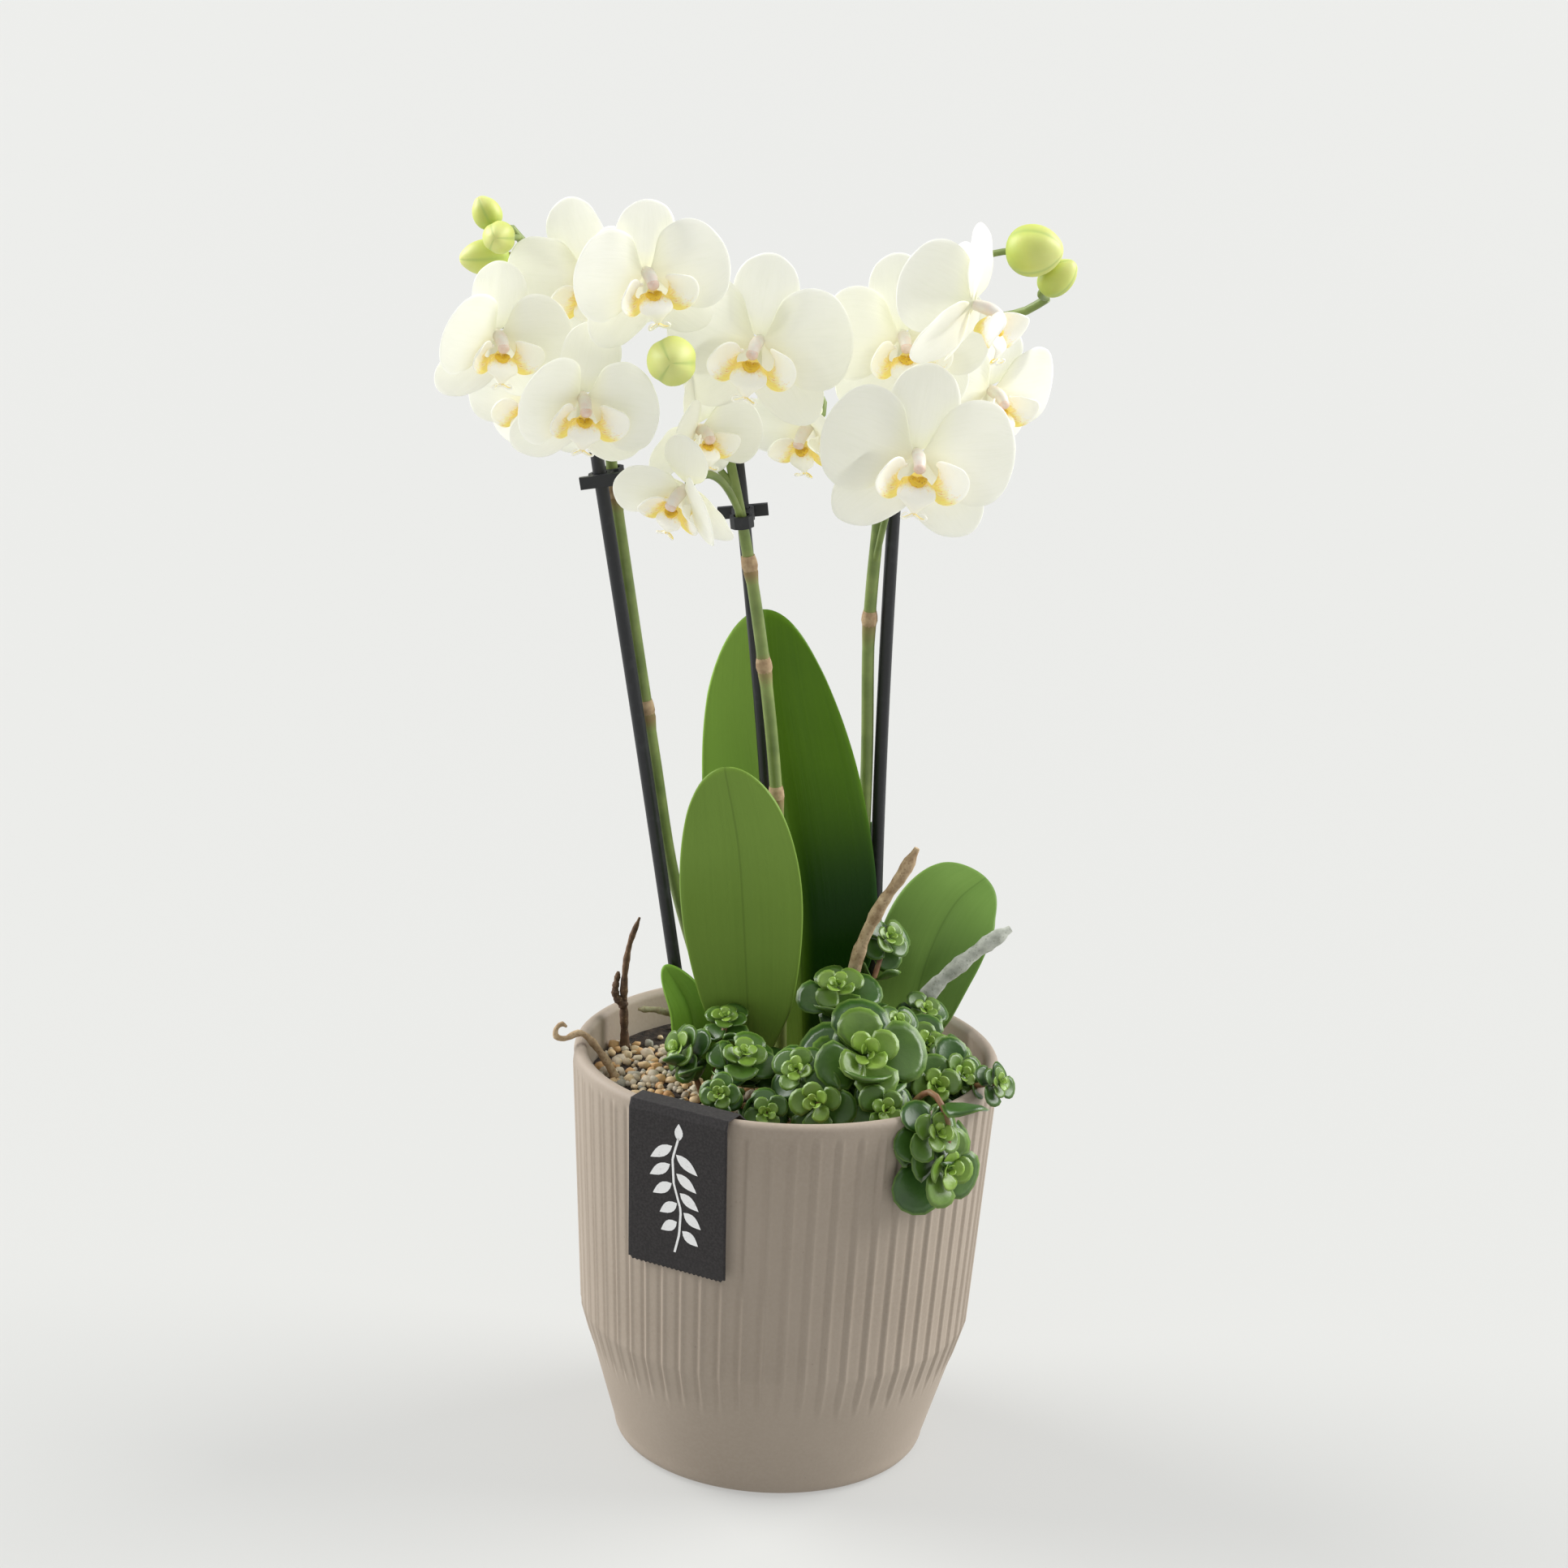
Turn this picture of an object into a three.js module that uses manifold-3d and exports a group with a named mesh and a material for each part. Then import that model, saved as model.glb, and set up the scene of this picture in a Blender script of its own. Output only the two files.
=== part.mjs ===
// A potted orchid arrangement: a white miniature moth orchid with three flower spikes, stakes and clips,
// planted with green stonecrop in a ribbed ceramic pot that is topped with gravel and carries a folded card.
// Millimetres, +Z up. The origin is the centre of the pot's flat underside; the front of the arrangement faces -Y.
import * as THREE from "three";
import { mergeVertices } from "three/addons/utils/BufferGeometryUtils.js";
import Module from "manifold-3d";

const wasm = await Module();
wasm.setup();

// ---------------------------------------------------------------- driving dimensions
const CLEARANCE = 0.3; // gap kept between pieces that touch

const POT_HEIGHT = 127.5;
const RIM_RADIUS = 65;
const SHOULDER_RADIUS = 60;
const SHOULDER_HEIGHT = 43.5;
const BASE_RADIUS = 47.2;
const BASE_FILLET = 4.8;
const POT_WALL = 4;
const WALL_TOP = POT_HEIGHT - POT_WALL / 2; // where the wall turns over into the rounded rim
const POT_FLOOR = 6;
const POT_SEGMENTS = 36;

const GRAVEL_DROP = 11.5; // from the rim down to the top of the gravel
const GRAVEL_DEPTH = 5;
const FOOT_DEPTH = 14; // how deep a stem, stake or root goes below the gravel's top
const FOOT_TOP = 3;

const CARD_WIDTH = 33;
const CARD_DROP = 51; // from the rim down to the card's lower edge
const CARD_THICKNESS = 0.6;
const CARD_FLAP = 13; // how far the card reaches in over the gravel
const CARD_AZIMUTH = -28; // degrees from the front, positive to the right

const STAKE_RADIUS = 2;
const STEM_RADIUS = 1.75;
const NODE_SWELL = 0.6; // how far a stem's node stands out
const PEDICEL_RADIUS = 1.1;
const PEDICEL_BEND = 6; // how far behind its flower a pedicel that goes round a neighbour turns in
const PEDICEL_ARCH = 0.45; // how far behind its flower any other pedicel bends, as a share of its own reach

const CLIP_HEIGHT = 3.6;
const CLIP_WALL = 1.2;
const CLIP_SPAN = 15; // across both finger wings
const CLIP_WING = 1.6;
const CLIP_PLAY = 0.7; // round the stem, which doesn't run quite parallel to its stake

const FLOWER_SPAN = 52; // across the two petals of a flower of size 1
const TEPAL_THICKNESS = 0.9;
const HUB_RADIUS = 2.6;
const COLUMN_RADIUS = 1.7;
const COLUMN_LENGTH = 6;

const LEAF_THICKNESS = 1.8;
const CUSHION_THICKNESS = 3.2; // of a rosette's ring of leaves
const CUSHION_CUP = 0.18; // how far its edge rises, as a share of its radius
const SCALLOP = 0.3;
const SEDUM_STEM_RADIUS = 1.2;

const GRAVEL_TOP = POT_HEIGHT - GRAVEL_DROP;
const UP = new THREE.Vector3(0, 0, 1);
const radians = THREE.MathUtils.degToRad;

// ---------------------------------------------------------------- finishes
const FINISHES = {
  taupe_ceramic: { color: 0xaa9e8e, roughness: 0.7, metalness: 0 },
  soil: { color: 0x2a201a, roughness: 0.95, metalness: 0 },
  gravel: { color: 0xb79c74, roughness: 0.85, metalness: 0 },
  black_card: { color: 0x2d2828, roughness: 0.8, metalness: 0 },
  black_plastic: { color: 0x17181a, roughness: 0.45, metalness: 0 },
  stem_green: { color: 0x6d8f3c, roughness: 0.5, metalness: 0 },
  leaf_green: { color: 0x3f7a26, roughness: 0.4, metalness: 0 },
  petal_white: { color: 0xf6f5ec, roughness: 0.55, metalness: 0 },
  lip_yellow: { color: 0xf3d877, roughness: 0.5, metalness: 0 },
  bud_green: { color: 0xc6d76a, roughness: 0.5, metalness: 0 },
  root_brown: { color: 0x5a4330, roughness: 0.9, metalness: 0 },
  root_silver: { color: 0xb9bfae, roughness: 0.9, metalness: 0 },
  sedum_green: { color: 0x2f6b2c, roughness: 0.35, metalness: 0 },
};

function addMesh(parent, name, geometry, finish) {
  const mesh = new THREE.Mesh(geometry, new THREE.MeshStandardMaterial(FINISHES[finish]));
  mesh.name = name;
  parent.add(mesh);
  return mesh;
}

// ---------------------------------------------------------------- joining and cutting
function solid(geometry) {
  const bare = geometry.clone();
  bare.deleteAttribute("normal");
  bare.deleteAttribute("uv");
  const merged = mergeVertices(bare, 1e-4);
  return new wasm.Manifold(
    new wasm.Mesh({
      numProp: 3,
      vertProperties: new Float32Array(merged.attributes.position.array),
      triVerts: new Uint32Array(merged.index.array),
    }),
  );
}

function geometryOf(manifold) {
  const mesh = manifold.getMesh();
  const geometry = new THREE.BufferGeometry();
  geometry.setAttribute("position", new THREE.BufferAttribute(mesh.vertProperties, mesh.numProp));
  geometry.setIndex(new THREE.BufferAttribute(mesh.triVerts, 1));
  return geometry;
}

function join(geometries) {
  return geometryOf(geometries.map(solid).reduce((whole, piece) => whole.add(piece)));
}

function cut(geometry, cutters) {
  return geometryOf(cutters.map(solid).reduce((whole, piece) => whole.subtract(piece), solid(geometry)));
}

// ---------------------------------------------------------------- shapes that repeat
// Plant places are measured from the pot's axis and the gravel's top: x to the right, y to the back, z upwards.
const planted = ([x, y, z]) => new THREE.Vector3(x, y, GRAVEL_TOP + z);

// The sprays were laid out for flowers of this span. With larger flowers the spikes, the stakes and all that they
// carry spread from the pot's axis, more and more up to the crown, and the spray above the crown grows with them.
const LAID_OUT_SPAN = 52;
const CROWN_HEIGHT = 170;

function sprayed([x, y, z]) {
  const grown = FLOWER_SPAN / LAID_OUT_SPAN;
  const spread = 1 + (grown - 1) * Math.min(z / CROWN_HEIGHT, 1);
  return planted([x * spread, y * spread, z + (grown - 1) * Math.max(z - CROWN_HEIGHT, 0)]);
}

const smooth = (points) => new THREE.CatmullRomCurve3(points, false, "centripetal");

function tube(curve, radius, steps, sides = 5) {
  const turned = (angle) => new THREE.Vector2(radius * Math.cos(angle), radius * Math.sin(angle));
  const corner = (_, i) => turned((2 * Math.PI * i) / sides);
  const section = new THREE.Shape(Array.from({ length: sides }, corner));
  return new THREE.ExtrudeGeometry(section, { steps, bevelEnabled: false, extrudePath: curve });
}

// A thin leaf or petal that follows a spine. Its width lies along side, widest at that share of its length,
// and fold lifts its two edges off the spine.
function blade({ spine, side, width, thickness, widest = 0.5, fold = 0, around = 4, along = 4 }) {
  const geometry = new THREE.SphereGeometry(1, around, along);
  const power = Math.log(widest) / Math.log(0.5);
  const place = geometry.attributes.position;
  for (let i = 0; i < place.count; i++) {
    const share = Math.max(0, (place.getY(i) + 1) / 2) ** power;
    const across = place.getX(i);
    const tangent = spine.getTangent(share);
    const face = new THREE.Vector3().crossVectors(tangent, side).normalize();
    const edge = new THREE.Vector3().crossVectors(face, tangent).normalize();
    const point = spine.getPoint(share);
    point.addScaledVector(edge, (across * width) / 2);
    point.addScaledVector(face, (-place.getZ(i) * thickness) / 2 + fold * across * across);
    place.setXYZ(i, point.x, point.y, point.z);
  }
  return geometry;
}

function upright(x, y, radius, low, high) {
  const post = new THREE.CylinderGeometry(radius, radius, high - low, 6);
  post.rotateX(Math.PI / 2);
  post.translate(x, y, GRAVEL_TOP + (low + high) / 2);
  return post;
}

// Whatever is planted stands on a foot, and the gravel and the soil keep a socket for it.
const sockets = [];

function foot([x, y], radius) {
  sockets.push(upright(x, y, radius + CLEARANCE, -FOOT_DEPTH - CLEARANCE, FOOT_TOP));
  return upright(x, y, radius, -FOOT_DEPTH, FOOT_TOP);
}

// ---------------------------------------------------------------- pot
// The wall leans out straight from the shoulder and stands upright where it rounds over into the rim.
function outerRadius(height) {
  const lower = Math.min(height, SHOULDER_HEIGHT) / SHOULDER_HEIGHT;
  const upper = Math.min(Math.max(height - SHOULDER_HEIGHT, 0) / (WALL_TOP - SHOULDER_HEIGHT), 1);
  return BASE_RADIUS + lower * (SHOULDER_RADIUS - BASE_RADIUS) + upper * (RIM_RADIUS - SHOULDER_RADIUS);
}

const innerRadius = (height) => outerRadius(height) - POT_WALL;

function lathe(points) {
  return new THREE.LatheGeometry(points, POT_SEGMENTS).rotateX(Math.PI / 2);
}

function potGeometry() {
  const profile = [];
  const point = (radius, height) => profile.push(new THREE.Vector2(radius, height));
  const rimRound = POT_WALL / 2;
  point(0, 0);
  for (let turn = 0; turn <= 90; turn += 30) {
    const out = BASE_FILLET * (Math.sin(radians(turn)) - 1);
    point(outerRadius(BASE_FILLET) + out, BASE_FILLET * (1 - Math.cos(radians(turn))));
  }
  point(SHOULDER_RADIUS, SHOULDER_HEIGHT);
  for (let turn = 0; turn <= 180; turn += 45) {
    const out = rimRound * Math.cos(radians(turn));
    point(RIM_RADIUS - rimRound + out, POT_HEIGHT - rimRound + rimRound * Math.sin(radians(turn)));
  }
  point(innerRadius(SHOULDER_HEIGHT), SHOULDER_HEIGHT);
  point(innerRadius(POT_FLOOR), POT_FLOOR);
  point(0, POT_FLOOR);
  return lathe(profile);
}

// A filling that stands off the pot's inner wall by the clearance.
function fillingGeometry(low, high) {
  const bends = [SHOULDER_HEIGHT].filter((height) => height > low && height < high);
  const edge = [low, ...bends, high].map((z) => new THREE.Vector2(innerRadius(z) - CLEARANCE, z));
  return lathe([new THREE.Vector2(0, low), ...edge, new THREE.Vector2(0, high)]);
}

// ---------------------------------------------------------------- card
// The card hangs flat against the wall, folds over the rim and slopes down to the gravel.
function cardGeometry() {
  const top = POT_HEIGHT + CLEARANCE;
  const bottom = POT_HEIGHT - CARD_DROP;
  const outside = RIM_RADIUS + CLEARANCE;
  const hang = outerRadius(bottom) + CLEARANCE;
  const inside = Math.sqrt((RIM_RADIUS - POT_WALL) ** 2 - (CARD_WIDTH / 2) ** 2) - CLEARANCE - CARD_THICKNESS;
  const flapEnd = GRAVEL_TOP + CLEARANCE;
  const outline = new THREE.Shape();
  outline.moveTo(hang, bottom);
  outline.lineTo(hang + CARD_THICKNESS, bottom);
  outline.lineTo(outside + CARD_THICKNESS, WALL_TOP);
  outline.lineTo(outside + CARD_THICKNESS, top + CARD_THICKNESS);
  outline.lineTo(inside, top + CARD_THICKNESS);
  outline.lineTo(inside - CARD_FLAP, flapEnd + CARD_THICKNESS);
  outline.lineTo(inside - CARD_FLAP, flapEnd);
  outline.lineTo(inside + CARD_THICKNESS, top);
  outline.lineTo(outside, top);
  outline.lineTo(outside, WALL_TOP);
  const geometry = new THREE.ExtrudeGeometry(outline, { depth: CARD_WIDTH, bevelEnabled: false });
  geometry.translate(0, 0, -CARD_WIDTH / 2);
  geometry.rotateX(Math.PI / 2);
  geometry.rotateZ(radians(CARD_AZIMUTH - 90));
  return geometry;
}

// ---------------------------------------------------------------- flowers
// A flower faces -Y, with its dorsal sepal up, before it is turned: yaw to the right, nod down, roll clockwise.
const TEPALS = [
  { turn: 0, length: 0.46, width: 0.33, widest: 0.52, back: 1.3, fold: 0.4 },
  { turn: 140, length: 0.47, width: 0.31, widest: 0.5, back: 1.3, fold: 0.4 },
  { turn: -140, length: 0.47, width: 0.31, widest: 0.5, back: 1.3, fold: 0.4 },
  { turn: 76, length: 0.5, width: 0.5, widest: 0.55, back: -0.5, fold: 0.8 },
  { turn: -76, length: 0.5, width: 0.5, widest: 0.55, back: -0.5, fold: 0.8 },
];

function tepal({ turn, length, width, widest, back, fold }, span) {
  const out = new THREE.Vector3(Math.sin(radians(turn)), 0, Math.cos(radians(turn)));
  const reach = (share, y) => out.clone().multiplyScalar(share * length * span).setY(y);
  const spine = new THREE.QuadraticBezierCurve3(reach(0.04, back), reach(0.5, back - 0.6), reach(1, back + 1.5));
  const side = new THREE.Vector3(out.z, 0, -out.x);
  return blade({ spine, side, width: width * span, thickness: TEPAL_THICKNESS, widest, fold });
}

function tepalsGeometry(span) {
  const hub = new THREE.SphereGeometry(HUB_RADIUS, 6, 4);
  return join([hub, ...TEPALS.map((shape) => tepal(shape, span))]);
}

// The lip is one body with the column: two side lobes that cup upwards and a mid lobe that points down and out.
function lipGeometry(span) {
  const start = -HUB_RADIUS - CLEARANCE;
  const at = (x, y, z) => new THREE.Vector3(x * span, start - y * span, z * span);
  const column = new THREE.CylinderGeometry(COLUMN_RADIUS, COLUMN_RADIUS * 0.8, COLUMN_LENGTH, 6);
  column.translate(0, start - COLUMN_LENGTH / 2, 0);
  const midLobe = blade({
    spine: new THREE.QuadraticBezierCurve3(at(0, 0.03, 0), at(0, 0.16, -0.08), at(0, 0.15, -0.24)),
    side: new THREE.Vector3(1, 0, 0),
    width: 0.16 * span,
    thickness: TEPAL_THICKNESS,
    widest: 0.6,
  });
  const sideLobe = (hand) =>
    blade({
      spine: new THREE.QuadraticBezierCurve3(
        at(0, 0.05, -0.02),
        at(hand * 0.13, 0.08, -0.06),
        at(hand * 0.13, 0.16, 0.08),
      ),
      side: new THREE.Vector3(0, 1, 0),
      width: 0.15 * span,
      thickness: TEPAL_THICKNESS,
      widest: 0.6,
    });
  return join([column, midLobe, sideLobe(1), sideLobe(-1)]);
}

// x, y, z above the gravel; the angles in degrees; the size; and where its pedicel leaves the spike, as a share.
const FLOWERS = {
  left: [
    { at: [-92.5, -18, 229], yaw: 20, nod: 12, roll: 2, size: 0.87, from: 0.84 },
    { at: [-67, -6, 246.5], yaw: -12, nod: 24, roll: -12, size: 0.93, from: 0.78 },
    { at: [-50, -35, 251], yaw: 16, nod: 8, roll: -9, size: 0.92, from: 0.8 },
    { at: [-67, -28, 214], yaw: 12, nod: 12, roll: 4, size: 0.93, from: 0.72 },
    { at: [-84, 22, 205], yaw: -24, nod: 10, roll: 0, size: 0.8, from: 0.62 },
  ],
  middle: [
    { at: [-18, -20, 231], yaw: -10, nod: 8, roll: 6, size: 1.04, from: 0.9 },
    { at: [-35, -10, 203.5], yaw: 36, nod: 10, roll: 0, size: 0.7, from: 0.8 },
    { at: [-37, -26, 189], yaw: -35, nod: 30, roll: 20, size: 0.78, from: 0.76 },
    { at: [-2, 8, 203], yaw: -35, nod: 35, roll: 0, size: 0.82, from: 0.88, via: [-14, 20, 223] },
  ],
  right: [
    { at: [28, -37, 204], yaw: 4, nod: 6, roll: 5, size: 1.08, from: 0.58 },
    { at: [23, -4, 232], yaw: 6, nod: 6, roll: -6, size: 0.98, from: 0.68 },
    { at: [42, -33, 246], yaw: 62, nod: 14, roll: 8, size: 0.93, from: 0.8, via: [42, -3, 257] },
    { at: [50, 18, 214], yaw: 34, nod: 14, roll: 0, size: 0.85, from: 0.74 },
  ],
};

// Buds: centre, the way each one points, length and width, and where its pedicel leaves the spike.
const BUDS = {
  left: [
    { at: [-97.5, -4, 261.5], points: [-0.5, 0, 0.9], length: 9.5, width: 8.5, from: 1 },
    { at: [-93, -14, 256], points: [-0.1, -1, 0.1], length: 11, width: 9.4, from: 0.985 },
    { at: [-98, -1, 248.5], points: [-1, -0.2, -0.1], length: 14, width: 10.5, from: 0.93 },
  ],
  middle: [{ at: [-41.5, -46, 228.5], points: [0, -1, 0.1], length: 16, width: 14, from: 1 }],
  right: [
    { at: [58.5, -12, 259.5], points: [0.9, -0.3, 0.1], length: 16, width: 15, from: 0.86 },
    { at: [66, -7, 251.5], points: [0.7, -0.1, 0.7], length: 12.5, width: 9.5, from: 1 },
  ],
};

const BUD_WIDEST = 0.45; // of its length from the stalk

function budGeometry({ at, points, length, width }) {
  const heading = new THREE.Vector3(...points).normalize();
  const centre = sprayed(at);
  const spine = new THREE.LineCurve3(
    centre.clone().addScaledVector(heading, -length / 2),
    centre.clone().addScaledVector(heading, length / 2),
  );
  const side = new THREE.Vector3().crossVectors(heading, UP).normalize();
  return blade({ spine, side, width, thickness: width, widest: BUD_WIDEST, around: 8, along: 6 });
}

// A pedicel leaves the spike, bends over and meets its flower or bud from behind; via takes it round a neighbour.
function pedicel(spine, { from, via }, end, behind) {
  const start = sprayed(spine.getPointAt(from).toArray());
  const bend = end.clone().addScaledVector(behind, via ? PEDICEL_BEND : start.distanceTo(end) * PEDICEL_ARCH);
  const curve = via
    ? smooth([start, sprayed(via), bend, end])
    : new THREE.QuadraticBezierCurve3(start, bend, end);
  return tube(curve, PEDICEL_RADIUS, via ? 9 : 5);
}

function flowerGroup(name, { at, yaw, nod, roll, size }) {
  const flower = new THREE.Group();
  flower.position.copy(sprayed(at));
  flower.rotation.set(radians(nod), radians(roll), radians(yaw), "ZXY");
  addMesh(flower, `${name}_tepals`, tepalsGeometry(FLOWER_SPAN * size), "petal_white");
  addMesh(flower, `${name}_lip`, lipGeometry(FLOWER_SPAN * size), "lip_yellow");
  return flower;
}

// ---------------------------------------------------------------- spikes, stakes and clips
const SPIKES = {
  left: {
    stem: [
      [-18.4, 15, 2], [-26.2, 13, 25.4], [-37, 9, 61.7], [-44.3, 6, 100.7], [-52.5, 3, 146.2],
      [-58.8, 2, 182.8], [-62.5, 4, 206.3], [-68, 11, 226], [-76, 15, 239], [-84, 13, 247],
      [-91.5, 8, 256],
    ],
    nodes: [113, 179],
    stake: [[-29.8, 8, 2], [-49.3, 0, 114], [-64.8, -3.5, 197.9]],
    clipHeight: 186,
  },
  middle: {
    stem: [
      [-1.5, 8, 2], [-3.5, 9, 40], [-6.4, 9, 83.9], [-11.3, 7, 122.4], [-17.7, 4, 158.8], [-24.2, 2, 188.1],
      [-28.5, 4, 203.2], [-35.2, 4, 216], [-40.7, -4, 221.3],
    ],
    nodes: [87, 159],
    stake: [[-3.3, 15, 2], [-9.8, 16.5, 86.2], [-18.9, 11, 160.9], [-23.4, 8.4, 193]],
    clipHeight: 175,
  },
  right: {
    stem: [
      [21.5, 36, 2], [20.4, 31, 92.7], [18.6, 26, 138.8], [19.3, 21, 167], [20.6, 14, 194.1],
      [24.2, 10, 214.3], [32.2, 8, 229.4], [46, 8, 235.8], [57.8, 4, 239.8], [63.8, -1, 244.6],
    ],
    nodes: [139],
    stake: [[27.2, 38, 2], [24.9, 33, 79.3], [24.1, 27.5, 138.5], [24.1, 21, 193.1]],
    clipHeight: 180,
  },
};

// The share of a curve at which it crosses the plane through a point; the curve rises through the plane.
function crossing(curve, point, normal) {
  let low = 0;
  let high = 1;
  for (let halving = 0; halving < 30; halving++) {
    const middle = (low + high) / 2;
    if (curve.getPoint(middle).sub(point).dot(normal) < 0) low = middle;
    else high = middle;
  }
  return low;
}

const atHeight = (curve, height) => crossing(curve, planted([0, 0, height]), UP);

// A butterfly clip: one ring round the stake, one round the stem, a web between them and a wing to each side.
function clipGeometry(stakeCurve, stemCurve, height) {
  const share = atHeight(stakeCurve, height);
  const centre = stakeCurve.getPoint(share);
  const axis = stakeCurve.getTangent(share);
  const turn = new THREE.Quaternion().setFromUnitVectors(UP, axis);
  const stem = stemCurve.getPoint(crossing(stemCurve, centre, axis)).sub(centre);
  stem.applyQuaternion(turn.clone().invert());
  const disc = (x, y, radius, tall) => {
    const round = new THREE.CylinderGeometry(radius, radius, tall, 10);
    return round.rotateX(Math.PI / 2).translate(x, y, 0);
  };
  const stakeHole = STAKE_RADIUS + CLEARANCE;
  const stemHole = STEM_RADIUS + CLIP_PLAY;
  const web = new THREE.BoxGeometry(Math.hypot(stem.x, stem.y), 2 * stemHole, CLIP_HEIGHT);
  web.rotateZ(Math.atan2(stem.y, stem.x)).translate(stem.x / 2, stem.y / 2, 0);
  const wings = new THREE.BoxGeometry(CLIP_SPAN, CLIP_WING, CLIP_HEIGHT);
  wings.translate(stem.x / 2, -(stakeHole + CLIP_WALL / 2) * Math.sign(stem.y), 0);
  const body = join([
    disc(0, 0, stakeHole + CLIP_WALL, CLIP_HEIGHT),
    disc(stem.x, stem.y, stemHole + CLIP_WALL, CLIP_HEIGHT),
    web,
    wings,
  ]);
  const holes = [disc(0, 0, stakeHole, 2 * CLIP_HEIGHT), disc(stem.x, stem.y, stemHole, 2 * CLIP_HEIGHT)];
  return cut(body, holes).applyQuaternion(turn).translate(centre.x, centre.y, centre.z);
}

function addSpike(parent, name) {
  const { stem, nodes, stake, clipHeight } = SPIKES[name];
  const spine = smooth(stem.map((point) => new THREE.Vector3(...point)));
  const stemCurve = smooth(stem.map(sprayed));
  const stakeCurve = smooth(stake.map(sprayed));
  const pieces = [foot(stem[0], STEM_RADIUS), tube(stemCurve, STEM_RADIUS, 20, 6)];
  for (const height of nodes) {
    const knot = new THREE.SphereGeometry(STEM_RADIUS + NODE_SWELL, 6, 4);
    pieces.push(knot.translate(...stemCurve.getPoint(atHeight(stemCurve, height)).toArray()));
  }
  FLOWERS[name].forEach((shape, i) => {
    const flower = flowerGroup(`flower_${name}_${i + 1}`, shape);
    parent.add(flower);
    const behind = new THREE.Vector3(0, 1, 0).applyEuler(flower.rotation);
    const end = flower.position.clone().addScaledVector(behind, HUB_RADIUS + CLEARANCE);
    pieces.push(pedicel(spine, shape, end, behind));
  });
  BUDS[name].forEach((shape, i) => {
    addMesh(parent, `bud_${name}_${i + 1}`, budGeometry(shape), "bud_green");
    const behind = new THREE.Vector3(...shape.points).normalize().negate();
    const end = sprayed(shape.at).addScaledVector(behind, shape.length / 2 + CLEARANCE);
    pieces.push(pedicel(spine, shape, end, behind));
  });
  addMesh(parent, `flower_stem_${name}`, join(pieces), "stem_green");
  const stakeSolid = join([foot(stake[0], STAKE_RADIUS), tube(stakeCurve, STAKE_RADIUS, 8, 6)]);
  addMesh(parent, `stake_${name}`, stakeSolid, "black_plastic");
  addMesh(parent, `clip_${name}`, clipGeometry(stakeCurve, stemCurve, clipHeight), "black_plastic");
}

// ---------------------------------------------------------------- orchid leaves
const LEAVES = {
  leaf_back: {
    spine: [[6, 21, 0.6], [2.2, 24, 42], [-4.6, 26, 80], [-11.4, 28, 117], [-13.8, 30, 142]],
    side: [1, 0.1, 0.1], width: 51, widest: 0.48, fold: -4, foot: 3,
  },
  leaf_front: {
    spine: [[-10, -2, 0.6], [-14.5, -8, 50], [-17.5, -14, 80], [-22.5, -16, 104.5]],
    side: [1, -0.1, 0.15], width: 37, widest: 0.62, fold: -3, foot: 2.4,
  },
  leaf_right: {
    spine: [[36, 22, 0.6], [43, 36, 30], [51.5, 46, 46], [61, 54, 52]],
    side: [0.75, -0.45, -0.5], width: 34, widest: 0.62, fold: -2, foot: 2.4,
  },
  leaf_narrow: {
    spine: [[10, 36, 0.6], [18, 42, 40], [24, 44, 72]],
    side: [1, 0.2, 0], width: 15, widest: 0.5, fold: -1, foot: 2,
  },
  leaf_cut: {
    spine: [[-27, -4, 0.6], [-30, 0, 22], [-38.5, 1, 36]],
    side: [0.8, 0.2, 0.5], width: 14, widest: 0.4, fold: -2, foot: 1.6,
  },
};

function leafGeometry({ spine, side, width, widest, fold, foot: footRadius }) {
  const leaf = blade({
    spine: smooth(spine.map(planted)),
    side: new THREE.Vector3(...side).normalize(),
    width,
    thickness: LEAF_THICKNESS,
    widest,
    fold,
    around: 8,
    along: 8,
  });
  return join([leaf, foot(spine[0], footRadius)]);
}

// ---------------------------------------------------------------- aerial roots
const ROOTS = {
  root_upright_left: {
    radius: 1.4,
    finish: "root_brown",
    runs: [
      [[-50.3, 22, 2], [-51.5, 23, 22], [-50.3, 24, 34], [-47.5, 24, 43]],
      [[-51, 22.5, 14], [-54, 22, 18], [-53.5, 24, 25]],
    ],
  },
  root_level_left: {
    radius: 1.6,
    finish: "root_brown",
    runs: [[[-30, 20, 2], [-33, 17, 12], [-39, 16, 15.5], [-46.6, 18, 15]]],
  },
  root_straw_right: {
    radius: 1.5,
    finish: "root_brown",
    runs: [[[17, 6, 2], [20, 3, 40], [26.2, 1, 58], [31.8, 0, 68], [36.2, 0, 77.3]]],
  },
  root_silver_right: {
    radius: 2.5,
    finish: "root_silver",
    runs: [[[36, 12, 3], [40, 14, 20], [45, 16, 28], [52, 18, 34.5], [60, 20, 41], [67.5, 22, 46]]],
  },
};

function rootGeometry({ radius, runs }) {
  const tubes = runs.map((run) => tube(smooth(run.map(planted)), radius, 3 * run.length));
  return join([foot(runs[0][0], radius), ...tubes]);
}

// The curled root hangs out over the rim, so it is placed from the rim: outwards, along the rim's tangent, and up.
const CURL_AZIMUTH = -85;
const CURL_RADIUS = 1.3;
const CURL = [
  [-13, 0, -GRAVEL_DROP + 2],
  [-9, 0, -4],
  [-2, -1, 3],
  [3, 0, 1.5],
  [5.5, 1, 2.5],
  [4.5, 2, 7],
];

function overRim(azimuth, [out, along, up]) {
  const place = new THREE.Vector3(along, -(RIM_RADIUS + out), POT_HEIGHT + up);
  return place.applyAxisAngle(UP, radians(azimuth));
}

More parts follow.
